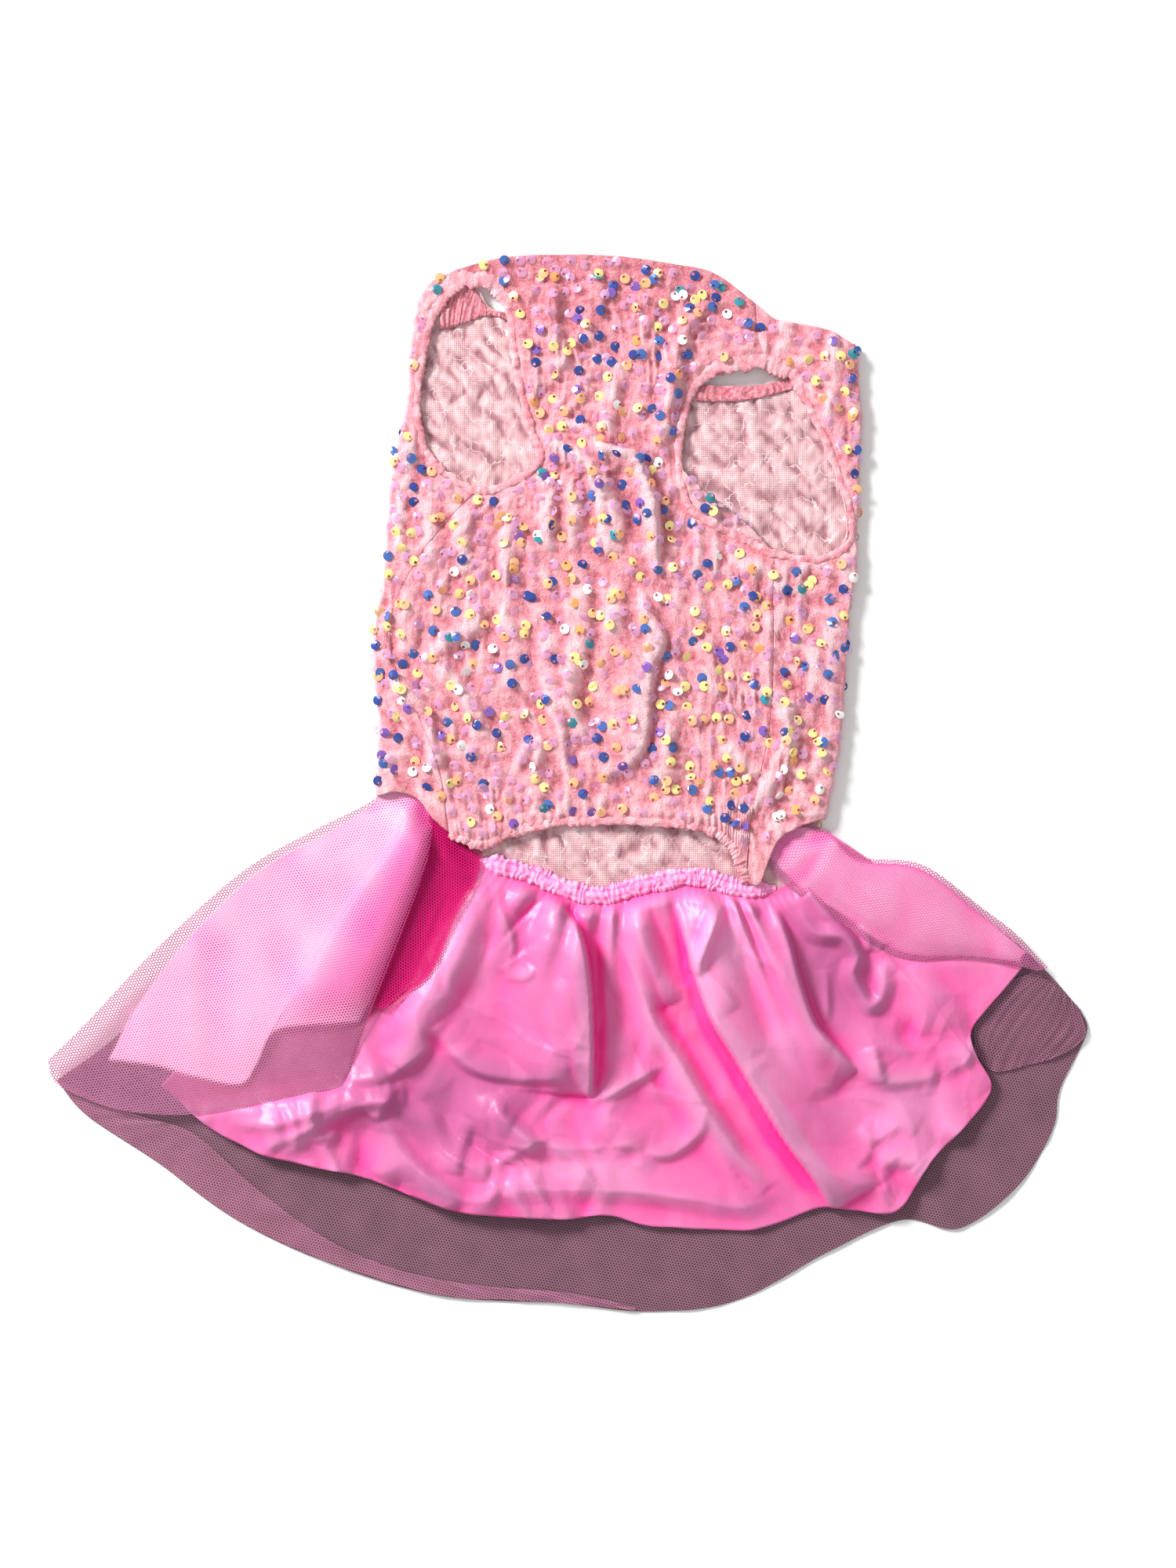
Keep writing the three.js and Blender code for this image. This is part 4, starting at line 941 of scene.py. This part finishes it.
# Folds of the skirt, in the columns of the belly side's folds
SKIRT_FOLDS = [
    ([(-10, -54), (2, -66), (8, -80), (11, -99), (12, -120), (12, -139), (11, -153)], 3, 46, 15, 0.1),
    ([(-41.6, -50), (-49, -75), (-64, -105), (-84, -138)], 13, 17, 7, 0.1),
    ([(-34, -49), (-32, -62), (-26, -78), (-30, -93)], 4, 12, 2.5, 0.7),
    ([(-64, -118), (-48, -137), (-26, -143), (2, -143)], 24, 5, 4.5, 0.3),
    ([(-15, -90), (-20, -95), (-30, -94)], 3, 12, 1.8, 0.9),
    ([(11, -156), (23, -151), (36, -144), (48, -137)], 14, 4, 3, 0.9),
    ([(28, -56), (33, -66), (40, -84), (50, -108)], 11, 12, 8, 0.1),
    ([(16, -60), (27, -78), (36, -99), (43, -117), (54, -134), (68, -158), (83, -180), (99, -199)], 8, 15,
     7, 0.6),
    ([(55, -54), (61, -80), (66, -97), (73, -115), (84, -133), (96, -153), (110, -175), (125, -195),
      (133, -208)], 38, 4, 16, 0.12),
    ([(78, -52), (72, -69), (66, -84), (63, -93)], 5, 7, 6, 0.4),
    ([(63, -90), (76, -99), (83, -109)], 4, 12, 2, 0.9),
    ([(98, -55), (107, -75), (112, -93), (117, -109), (122, -120), (132, -131), (141, -141)], 4, 24, 10,
     0.2),
    ([(112, -52), (117, -66), (123, -73), (136, -75), (142, -84), (140, -93), (144, -102), (149, -108),
      (154, -104), (156, -93), (157, -86)], 7, 7, 5.5, 0.5),
    ([(143, -69), (147, -75), (149, -82)], 4, 4, 3, 0.6),
    ([(-44, -203), (-26, -199), (-2, -198), (19, -199), (39, -200), (65, -204), (83, -207), (94, -205),
      (98, -198)], 22, 8, 3, 0.8),
    ([(-25, -166), (-15, -176), (-2, -178), (14, -178), (32, -177), (37, -183), (34, -188)], 16, 7, 2.2,
     0.9),
    ([(-35, -151), (-32, -162), (-25, -166)], 5, 12, 2.5, 0.8),
    ([(145, -168), (149, -178), (142, -188), (151, -191)], 5, 14, 1.6, 0.9),
    ([(155, -189), (163, -182), (173, -189)], 14, 5, 1.6, 0.9),
    ([(168, -89), (181, -109), (195, -129), (210, -147)], 14, 18, 3.5, 0.6),
    ([(151, -135), (153, -144), (163, -146), (183, -143)], 12, 5, 2.5, 0.9),
    ([(127, -91), (128, -106), (127, -117)], 4, 10, 2, 0.9),
    ([(68, -158), (65, -171), (50, -182), (39, -179)], 4, 14, 2.5, 0.9),
    ([(-146, -178), (-130, -171), (-104, -158), (-88, -155), (-78, -155)], 14, 5, 4, 0.7),
    ([(-88, -143), (-86, -151), (-90, -160), (-93, -165)], 4, 12, 3, 0.9),
    ([(-107, -145), (-90, -143), (-78, -137), (-65, -127)], 14, 5, 4, 0.6),
    ([(-165, -165), (-146, -167), (-121, -160), (-99, -153)], 12, 5, 2.5, 0.8),
    ([(-90, -165), (-78, -183), (-60, -198), (-53, -207)], 6, 16, 4, 0.7),
    ([(-46, -165), (-52, -181), (-53, -191)], 4, 14, 3, 0.8),
    ([(-34, -157), (-25, -167), (-17, -177), (-27, -181), (-41, -190)], 5, 12, 3, 0.8),
    ([(-139, -181), (-125, -174), (-111, -172)], 10, 4, 2, 0.9),
    ([(150, -128), (153, -138), (155, -146)], 4, 12, 2.5, 0.9),
    ([(144, -167), (151, -174), (162, -168), (171, -172)], 14, 5, 1.8, 0.8),
    ([(152, -178), (159, -185), (171, -186), (168, -192)], 12, 5, 1.8, 0.8),
    ([(183, -143), (196, -135), (199, -124)], 12, 5, 2, 0.9),
    ([(130, -53), (145, -64), (156, -80)], 8, 9, 4, 0.4),
]
# Where the folded net's edge lies on the skirt beside the left side. The satin behind it is in its shade,
# which is painted deep magenta
POCKET_EDGE = [(-42, -22), (-43.5, -47), (-53.9, -64.7), (-65.5, -91.2), (-78.9, -103), (-96, -116)]
# The edges of the folded-over sides where they lie on the skirt, from the waist outwards
LEFT_SIDE_EDGE = [(-65, -17), (-68, -38.5), (-78, -67.5), (-92.5, -104), (-101, -127), (-108.5, -148)]
RIGHT_SIDE_EDGE = [
    (95, -33), (103, -45), (114, -54.5), (131, -65), (151.5, -79.5), (170.5, -86.5), (198, -86),
    (227, -90.5)]
# The outlines of the net that is folded over with the sides
LEFT_NET = {
    "left": [(-90, -1.5), (-97, -9.5), (-124, -23), (-158.5, -43), (-201, -81), (-235.5, -117.5),
             (-254, -135.5)],
    "right": [(-66, -3), *LEFT_SIDE_EDGE],
    "top": [(-90, -1.5), (-79, 0), (-66, -3)],
    "bottom": [(-254, -135.5), (-250, -146.5), (-235.5, -154), (-216.5, -160), (-189.5, -162),
               (-162.5, -158.5), (-135.5, -153), (-108.5, -148)]}
RIGHT_NET = {
    "left": [(108, -18), (101, -24), (95, -33)],
    "right": [(236, -90), (231, -91.5), (227, -90.5)],
    "top": [(108, -18), (127, -22.5), (144, -35.5), (174.5, -39.5), (203.5, -60.5), (220, -73), (236, -90)],
    "bottom": RIGHT_SIDE_EDGE}


def signed_distance(x, y, edges):
    """The distance to the outline of a piece with four edges, less than 0 inside. A place is inside where
    a level line from it to the right crosses the outline an odd number of times."""
    steps = np.linspace(0, 1, 40)
    outline = np.vstack([through(edges["top"])(steps[:-1]), through(edges["right"])(steps[:-1]),
                         through(edges["bottom"])(steps[:0:-1]), through(edges["left"])(steps[::-1])])
    (x0, y0), (x1, y1) = outline[:-1].T, outline[1:].T
    spans = (y0 > y[..., None]) != (y1 > y[..., None])
    crossing = x0 + (y[..., None] - y0) * (x1 - x0) / np.where(y1 == y0, 1, y1 - y0)
    inside = (spans & (crossing > x[..., None])).sum(-1) % 2 == 1
    return np.where(inside, -1, 1) * nearest(x, y, outline)[0]


def uncovered(x, y):
    """1 over the open skirt and 0 under its two folded-over sides."""
    outside = np.minimum(signed_distance(x, y, LEFT_NET), signed_distance(x, y, RIGHT_NET))
    return ease(-8 * MM, 4 * MM, outside)


def satin_level(x, y):
    """The height of the skirt cloth with its folds, before its fine creases: it comes out from under the
    waist seam, and drops to the net towards the hem. Its folds are pressed flat under the sides."""
    from_waist = away_from(x, y, through(SATIN_WAIST))
    to_hem, at_waist = ease(60 * MM, 150 * MM, from_waist), 1 - ease(1 * MM, 9 * MM, from_waist)
    drop = HEM_DROP * to_hem + WAIST_DROP * at_waist
    folds = folds_height(x, y, SKIRT_FOLDS) * ease(4 * MM, 20 * MM, from_waist)
    return SATIN_LEVEL - drop + folds * (0.12 + 0.88 * uncovered(x, y))


def satin_creases(x, y):
    """The fine creases: two sizes of facets, bent by a drift and stretched down the skirt, strongest
    low on the left and on the right, and nearly none under the folded-over sides."""
    drift = noise(x / (24 * MM), y / (24 * MM), 91), noise(x / (24 * MM), y / (24 * MM), 92)
    bent_x, bent_y = x + 8 * MM * drift[0], y + 8 * MM * drift[1]
    large = facets(bent_x + 0.4 * bent_y, bent_y * 0.75, 19 * MM, 93)
    small = facets(bent_x - 0.5 * bent_y, bent_y * 0.9 + 0.2 * bent_x, 8 * MM, 94)
    patches = 0.75 + 0.35 * noise(x / (34 * MM), y / (34 * MM), 95)
    left_low = ease(-95 * MM, -150 * MM, y) * (1 - ease(-10 * MM, 50 * MM, x))
    right = ease(130 * MM, 160 * MM, x) * ease(-90 * MM, -130 * MM, y)
    strength = (0.38 + 0.6 * left_low + 0.4 * right) * patches
    return MM * (LARGE_CREASE * large + SMALL_CREASE * small) * strength * (0.05 + 0.95 * uncovered(x, y))


def satin_finish(name, painted_sheen=(1.0, 1.0, 1.0)):
    """Satin: pink with a soft sheen, painted deeper in hollows as shade and paler on ridges as highlight by
    its crest value, painted pale where it faces the light, painted mauve where it lies in shade, and
    painted deep magenta as the shade in the fold beside the left side. A bump sharpens its creases. The
    painted sheen multiplies the pinks, paler on the folded-over sides, whose shiny right side is up."""
    look = Finish(name)
    cloud = look.texture(38, 3, 0.55)
    fine = look.texture(1, 3, 0.6, look.stretched(260, 150, 200, 0.5))
    light = look.value("crest") * 0.9 + cloud * 0.4 - 0.2
    pinks = [(0.0, (0.96, 0.025, 0.30)), (0.35, (0.82, 0.13, 0.38)), (0.7, (0.71, 0.225, 0.45)),
             (1.0, (0.69, 0.25, 0.45))]
    colour = look.ramp(light, [
        (place, tuple(min(a * b, 1.0) for a, b in zip(pink, painted_sheen))) for place, pink in pinks])
    colour = look.blend(look.value("pale"), colour, (0.92, 0.34, 0.62))
    colour = look.blend(look.value("mauve"), colour, (0.46, 0.10, 0.27))
    colour = look.blend(look.value("pocket"), colour, (0.56, 0.006, 0.12))
    creased = look.relief(look.value("creases"), 5 * MM, 1.0)
    return look.surface(
        Base_Color=colour, Roughness=0.36, Specular_IOR_Level=0.3,
        Normal=look.relief(fine, 0.25 * MM, 0.5, creased))


# Where the skirt is painted mauve as shade, and where it is painted pale as highlight: centre, half
# widths across and down, and strength
PAINTED_SHADE_LOBES = [
    (-12, -100, 26, 40, 0.5), (126, -90, 20, 24, 0.8), (112, -62, 8, 12, 0.5), (-42, -146, 34, 26, 0.75),
    (-80, -162, 36, 22, 0.6), (160, -150, 46, 44, 0.3), (-28, -64, 5, 14, 0.3), (142, -106, 14, 20, 0.5),
    (-46, -176, 26, 22, 0.5), (-104, -146, 20, 16, 0.5), (-68, -192, 26, 12, 0.4),
    (-152, -170, 26, 10, 0.45), (128, -72, 20, 14, 0.5), (104, -206, 34, 10, 0.35)]
PAINTED_HIGHLIGHT_LOBES = [
    (80, -84, 13, 26, 0.9), (104, -132, 14, 16, 0.6), (166, -158, 28, 16, 0.7), (8, -190, 34, 9, 0.7),
    (-43, -88, 8, 14, 0.5), (181, -184, 12, 14, 0.6)]
u, v = lattice(300, 158)
plan = strip(SATIN_WAIST, SATIN_HEM, u, v) + np.dstack([0 * u, 2.2 * MM * noise(u * 26, 0.5, 97) * v ** 6])
x, y = plan[..., 0], plan[..., 1]
from_waist = away_from(x, y, through(SATIN_WAIST))
pleats = np.cos(2 * np.pi * (WAIST_PLEATS * u + 0.9 * noise(u * 11, 0.5, 98)))
gathers = np.cos(2 * np.pi * (WAIST_GATHERS * u + 0.7 * noise(u * 30, 0.5, 99)))
# pocket is 1 in the fold beside the left side, where the creases are damped and deep magenta shade is
# painted
away, _, is_left = nearest(x, y, through(POCKET_EDGE)(np.linspace(0, 1, 40)))
pocket = 1 - ease(-3 * MM, 2 * MM, np.where(is_left, away, -away))
pocket = pocket * ease(-124 * MM, -104 * MM, y)
creases = satin_creases(x, y) * ease(3 * MM, 12 * MM, from_waist)
pleated = 2.4 * MM * (1 + pleats) * np.exp(-from_waist / (26 * MM)) * ease(3 * MM, 12 * MM, from_waist)
gathered = 0.4 * MM * (1 + gathers) * np.exp(-from_waist / (7 * MM)) * ease(3 * MM, 5 * MM, from_waist)
height = satin_level(x, y) + (creases + pleated + gathered) * (1 - 0.75 * pocket)
# Painted shade and painted highlight, from the two lobe tables
mauve, pale = (
    np.clip(sum(deep * np.exp(-((x / MM - a) / wide) ** 2 - ((y / MM - b) / tall) ** 2)
                for a, b, wide, tall, deep in lobes), 0, 0.9)
    for lobes in (PAINTED_SHADE_LOBES, PAINTED_HIGHLIGHT_LOBES))
# The crest value paints shade in the hollows and highlight on the ridges; the pocket, mauve and pale values
# paint more shade and highlight
satin_skirt = cloth_mesh(
    "satin_skirt_cloth", np.dstack([plan, height]), crest=crest(height, 7), pocket=pocket, mauve=mauve,
    pale=pale, creases=(creases + pleated) / (8 * MM))
thicken(satin_skirt, SATIN)
satin_skirt.data.materials.append(satin_finish("skirt_satin"))
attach(satin_skirt, "root")
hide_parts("satin_skirt")

# The skirt's folded-over sides
# The left and right ends of the satin, folded over onto the belly side with their right side up and
# rolled along the edge where the cloth doubles back.
LEFT_SATIN = {
    "left": [(-89.5, -2), (-97, -12), (-116, -24), (-151, -43.5), (-185.5, -77), (-210.5, -110),
             (-224, -135)],
    "right": [(-67, -3.5), (-67, -20.5), (-69.5, -38.5), (-79.5, -67), (-94, -103), (-98, -110),
              (-101, -116)],
    "top": [(-89.5, -2), (-78.5, -0.5), (-67, -3.5)],
    "bottom": [(-224, -135), (-201, -138), (-181.5, -143.5), (-160, -147), (-152, -138), (-143, -121),
               (-124, -117.5), (-101, -116)]}
RIGHT_SATIN = {
    "left": [(108, -20), (102, -27), (99, -35)],
    "right": [(225, -82.5), (223, -85), (222.5, -87)],
    "top": [(108, -20), (127, -24), (143, -37.5), (173, -41.5), (201.5, -62.5), (213, -72), (225, -82.5)],
    "bottom": [(99, -35), (116, -52), (133, -62.5), (153, -77), (170.5, -84), (198, -84.5), (222.5, -87)]}
SIDE_LIFT = 1.1 * MM  # over the skirt's level


def outlined(edges, u, v):
    """The Coons patch of a piece's four named edges."""
    return patch(*(through(edges[side]) for side in ("left", "right", "top", "bottom")), u, v)


def left_roll(u, v):
    """The left side swells as the cube of a sine towards its doubled edge, and turns down round it."""
    swell = 7 * MM * np.sin(np.pi / 2 * u) ** 3 * (1 - 0.6 * ease(0.6, 1, v))
    turn = np.sqrt(np.clip(1 - (np.clip(u - 0.88, 0, 1) / 0.12) ** 2, 0, 1))
    return swell * (0.15 + 0.85 * turn)


def right_roll(u, v):
    """The right side lies flat, a little raised in its middle."""
    return 3 * MM * np.sin(np.pi * v) * np.sin(np.pi * u)


def folded_side(edges, columns, rows, lift, swell, hem):
    """A folded-over side: the Coons patch of its edges, lifted over the skirt's level by its swell. Where
    it runs in under the velvet's hem line it lies low."""
    u, v = lattice(columns, rows)
    plan = outlined(edges, u, v)
    x, y = plan[..., 0], plan[..., 1]
    soft = 0.9 * MM * (1 + noise(x / (17 * MM), y / (30 * MM), 101)) * np.sin(np.pi * v) ** 0.5
    away, _, inside = nearest(x, y, through(hem)(np.linspace(0, 1, 40)))
    outside = ease(0, 14 * MM, np.where(inside, 0, away))
    height = satin_level(x, y) + lift * (0.35 + 0.65 * outside) + (swell(u, v) + soft) * outside
    return np.dstack([plan, height])


# Each side's pinks are multiplied by a painted sheen, paler for its shiny right side
for side, edges, size, swell, hem, flat, area, painted_sheen in (
        ("left", LEFT_SATIN, (120, 92), left_roll, HEM_WRAP_LEFT, (0.20, 0.15), 0.0125,
         (1.3, 3.2, 1.85)),
        ("right", RIGHT_SATIN, (120, 52), right_roll, HEM_WRAP_RIGHT, (0.14, 0.06), 0.0035,
         (1.25, 2.9, 1.75))):
    points = folded_side(edges, *size, SIDE_LIFT, swell, hem)
    # Painted deep pink shade on the flank of the left side's roll, carried in its pocket value
    flank = 0.6 * ease(0.68, 0.95, np.linspace(0, 1, size[0])) * (side == "left")
    none = np.zeros(points.shape[:2])
    piece = cloth_mesh(
        f"satin_side_{side}_cloth", points, crest=crest(points[..., 2], 6), pocket=none + flank, mauve=none,
        pale=none, creases=none)
    thicken(piece, SATIN)
    piece.data.materials.append(satin_finish(f"satin_side_{side}_finish", painted_sheen))
    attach(piece, "root")
    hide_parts(f"satin_side_{side}")

# The net overskirt
# Fine pink net with six-sided meshes. It is gathered into the waist with the satin, lies lowest here and
# reaches past the satin's hem.
NET_WAIST = [
    (-86, -12), (-82, -17), (-78, -22), (-60.5, -34.5), (-42.5, -43), (-27.5, -47.5), (-8.5, -54),
    (14.5, -59.5), (37.5, -55.5), (61, -51), (84, -56), (103, -56), (111, -53), (116, -43.5),
    (119, -35), (121, -31), (122, -28)]
NET_HEM = [
    (-250, -145.5), (-235.5, -162.5), (-201, -185.5), (-162.5, -213.5), (-116.5, -235), (-62.5, -251),
    (-1, -255), (41.5, -259), (84, -253.5), (130, -229), (165, -214), (193.5, -218), (222.5, -196.5),
    (239, -169.5), (242.5, -150), (255.5, -122.5), (252.5, -111)]
NET_LEFT = [NET_WAIST[0], (-126, -47), (-185, -90), (-222, -125), NET_HEM[0]]
NET_RIGHT = [NET_WAIST[-1], (148, -45), (176, -46), (206, -66), (232, -88), NET_HEM[-1]]
MESH = 1.45 * MM  # from one hole of the net to the next
HOLE_END = 0.31  # in meshes from the middle of a hole
THREAD_START = 0.38


def net_finish(name, thread, hole, hole_alpha, turn, lit=(1.0, 0.5, 0.8), gloss=0.3):
    """Net: round holes in six-sided order. A place is in a hole where it is nearer than about a third of
    the spacing to a point of either of two lattices, one set half a cell over from the other. The holes
    show what lies behind, tinted by their own colour. The threads are painted pale, as lit from behind,
    where pale satin backs them, and painted deep pink, as light through the satin, on the flank of the
    fold."""
    look = Finish(name)
    turned = look.stretched(1 / MESH, 1 / MESH, 1, turn)
    cell = (1.0, 3 ** 0.5, 1.0)
    distance = []
    for shift in (0.0, 0.5):
        moved = look.vector("ADD", turned, tuple(shift * c for c in cell))
        inside = look.vector("WRAP", moved, tuple(c / 2 for c in cell), tuple(-c / 2 for c in cell))
        flat = look.vector("MULTIPLY", inside, (1.0, 1.0, 0.0))
        distance.append(look.vector("LENGTH", flat, out="Value"))
    near = distance[0].math("MINIMUM", *distance)
    strand = look.node("ShaderNodeMapRange", None, {0: near, 1: HOLE_END, 2: THREAD_START, 3: 0.0, 4: 1.0})
    cloud = look.texture(60, 4, 0.65)
    shaded = lambda colour, low, high: look.blend(
        cloud, tuple(low * c for c in colour), tuple(min(high * c, 1) for c in colour))
    threads = look.blend(look.value("backed"), shaded(thread, 0.75, 1.25), shaded(lit, 0.93, 1.07))
    net_colour = look.blend(strand, shaded(hole, 0.4, 1.8), threads)
    return look.surface(
        Base_Color=look.blend(look.value("flank"), net_colour, (0.95, 0.12, 0.46)), Roughness=0.6,
        Sheen_Weight=gloss / 2, Specular_IOR_Level=gloss, Alpha=hole_alpha + strand * (1 - hole_alpha))


def net_piece(name, points, finish, flat, area, held, rests_on, node=None, **looks):
    """A sheet of net, which may replace a node."""
    piece = cloth_mesh(name, points, **looks)
    piece.data.materials.append(finish)
    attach(piece, "root")
    if node:
        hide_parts(node)


u, v = lattice(260, 110)
plan = patch(through(NET_LEFT), through(NET_RIGHT), through(NET_WAIST), through(NET_HEM), u, v)
ripple = noise(u * 60, v * 4, 111) + 0.6 * noise(u * 23, v * 3, 112)
height = MM * (0.75 + 0.4 * ripple)
net_piece("net_skirt_cloth", np.dstack([plan, height]),
          net_finish("skirt_net", (0.25, 0.115, 0.165), (0.075, 0.023, 0.04), 0.94, 0.2),
          (0.56, 0.22), 0.088, "gathered", ["table"], "net_skirt")

# The net over the folded-over sides
# The net's two ends fold over with the satin and lie on top of it, painted pale where the satin lies
# behind, as light shining through it, and mauve beyond the satin's edge.
NET_LIFT = 2.0 * MM

for side, edges, satin, size, swell, hem, flat, area, thread, lit in (
        ("left", LEFT_NET, LEFT_SATIN, (170, 124), left_roll, HEM_WRAP_LEFT, (0.22, 0.17), 0.016,
         (0.44, 0.13, 0.25), (0.97, 0.43, 0.65)),
        ("right", RIGHT_NET, RIGHT_SATIN, (150, 70), right_roll, HEM_WRAP_RIGHT, (0.15, 0.065), 0.0045,
         (0.48, 0.10, 0.25), (0.84, 0.18, 0.43))):
    points = folded_side(edges, *size, NET_LIFT, swell, hem)
    # backed paints the threads pale where satin lies behind, and flank paints the left fold's flank deep
    # pink: painted light through the satin
    backed = ease(1.2 * MM, -1.2 * MM, signed_distance(points[..., 0], points[..., 1], satin))
    u, v = lattice(*size)
    flank = (side == "left") * 0.95 * ease(0.6, 0.88, u) * (1 - ease(0.6, 0.8, v))
    net_piece(f"net_side_{side}_cloth", points,
              net_finish(f"net_side_{side}_finish", thread, (0.80, 0.30, 0.50), 0.1, 0.9, lit), flat, area,
              "folded", [f"satin_side_{side}_cloth"], f"net_side_{side}", backed=backed, flank=flank)

# The net in the fold beside the left side
# Where the net turns under the folded-over left side, a strip of it lies bare on the deep pink shaded
# satin, and reaches up under the velvet's hem.
POCKET_NET = {
    "left": [(-67, -14), (-69, -38.5), (-79, -67.5), (-90, -97), (-94, -109)],
    "right": [(-40, -26), (-43.5, -47), (-53.9, -64.7), (-65.5, -91.2), (-84, -107)],
    "top": [(-67, -14), (-54, -19), (-40, -26)],
    "bottom": [(-94, -109), (-89, -110), (-84, -107)]}

u, v = lattice(40, 100)
plan = outlined(POCKET_NET, u, v)
x, y = plan[..., 0], plan[..., 1]
height = satin_level(x, y) + 1.3 * MM + MM * (2.6 + 1.2 * noise(u * 5, v * 2, 105)) * ease(0.08, 0.3, v)
# The strip's threads and holes are painted deep magenta, as the shade in the fold
net_piece("net_in_fold_cloth", np.dstack([plan, height]),
          net_finish("net_in_fold_finish", (0.54, 0.012, 0.14), (0.54, 0.01, 0.13), 0.0, 0.5, gloss=0.0),
          (0.12, 0.03), 0.0022, "folded", ["satin_skirt_cloth"])

# The net's doubled edge
# Along the hem on the left, and at the tip on the right, the net is turned back on itself and looks
# twice as dense.
LEFT_TURN = {
    "left": [(-228, -156), (-240, -149), (-250, -145)],
    "right": [(34, -256.6), (34, -257.4), (34, -258.2)],
    "top": [(-228, -156), (-205, -164), (-182, -172), (-150, -200), (-116, -224), (-80, -239), (-42, -246),
            (0, -249.5), (34, -256.6)],
    "bottom": [(-250, -145), (-235.5, -162), (-201, -185), (-162.5, -213), (-116.5, -234.5),
               (-62.5, -250.5), (-28, -253), (5, -255.2), (34, -258.2)]}
RIGHT_TURN = {
    "left": [(229, -92), (212, -100), (201, -116), (200.5, -132)],
    "right": [(251, -109), (255, -122), (248, -130), (238, -135)],
    "top": [(229, -92), (240, -99), (251, -109)],
    "bottom": [(200.5, -132), (210, -141), (226, -138), (238, -135)]}

for side, edges, size, flat, area, thread, hole in (
        ("left", LEFT_TURN, (220, 10), (0.31, 0.03), 0.0042, (0.38, 0.15, 0.24), (0.22, 0.07, 0.13)),
        ("right", RIGHT_TURN, (50, 40), (0.06, 0.05), 0.0018, (0.28, 0.11, 0.18), (0.13, 0.04, 0.075))):
    u, v = lattice(*size)
    plan = outlined(edges, u, v)
    height = MM * (1.8 + 0.3 * noise(u * 40, v * 2, 121))
    net_piece(f"net_turnback_{side}_cloth", np.dstack([plan, height]),
              net_finish(f"net_turnback_{side}_finish", thread, hole, 0.6, 1.3),
              flat, area, "folded", ["net_skirt_cloth"], f"net_turnback_{side}")

size = {"cad": [list(corner) for corner in cad_box], "visual": [list(corner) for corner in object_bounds()]}
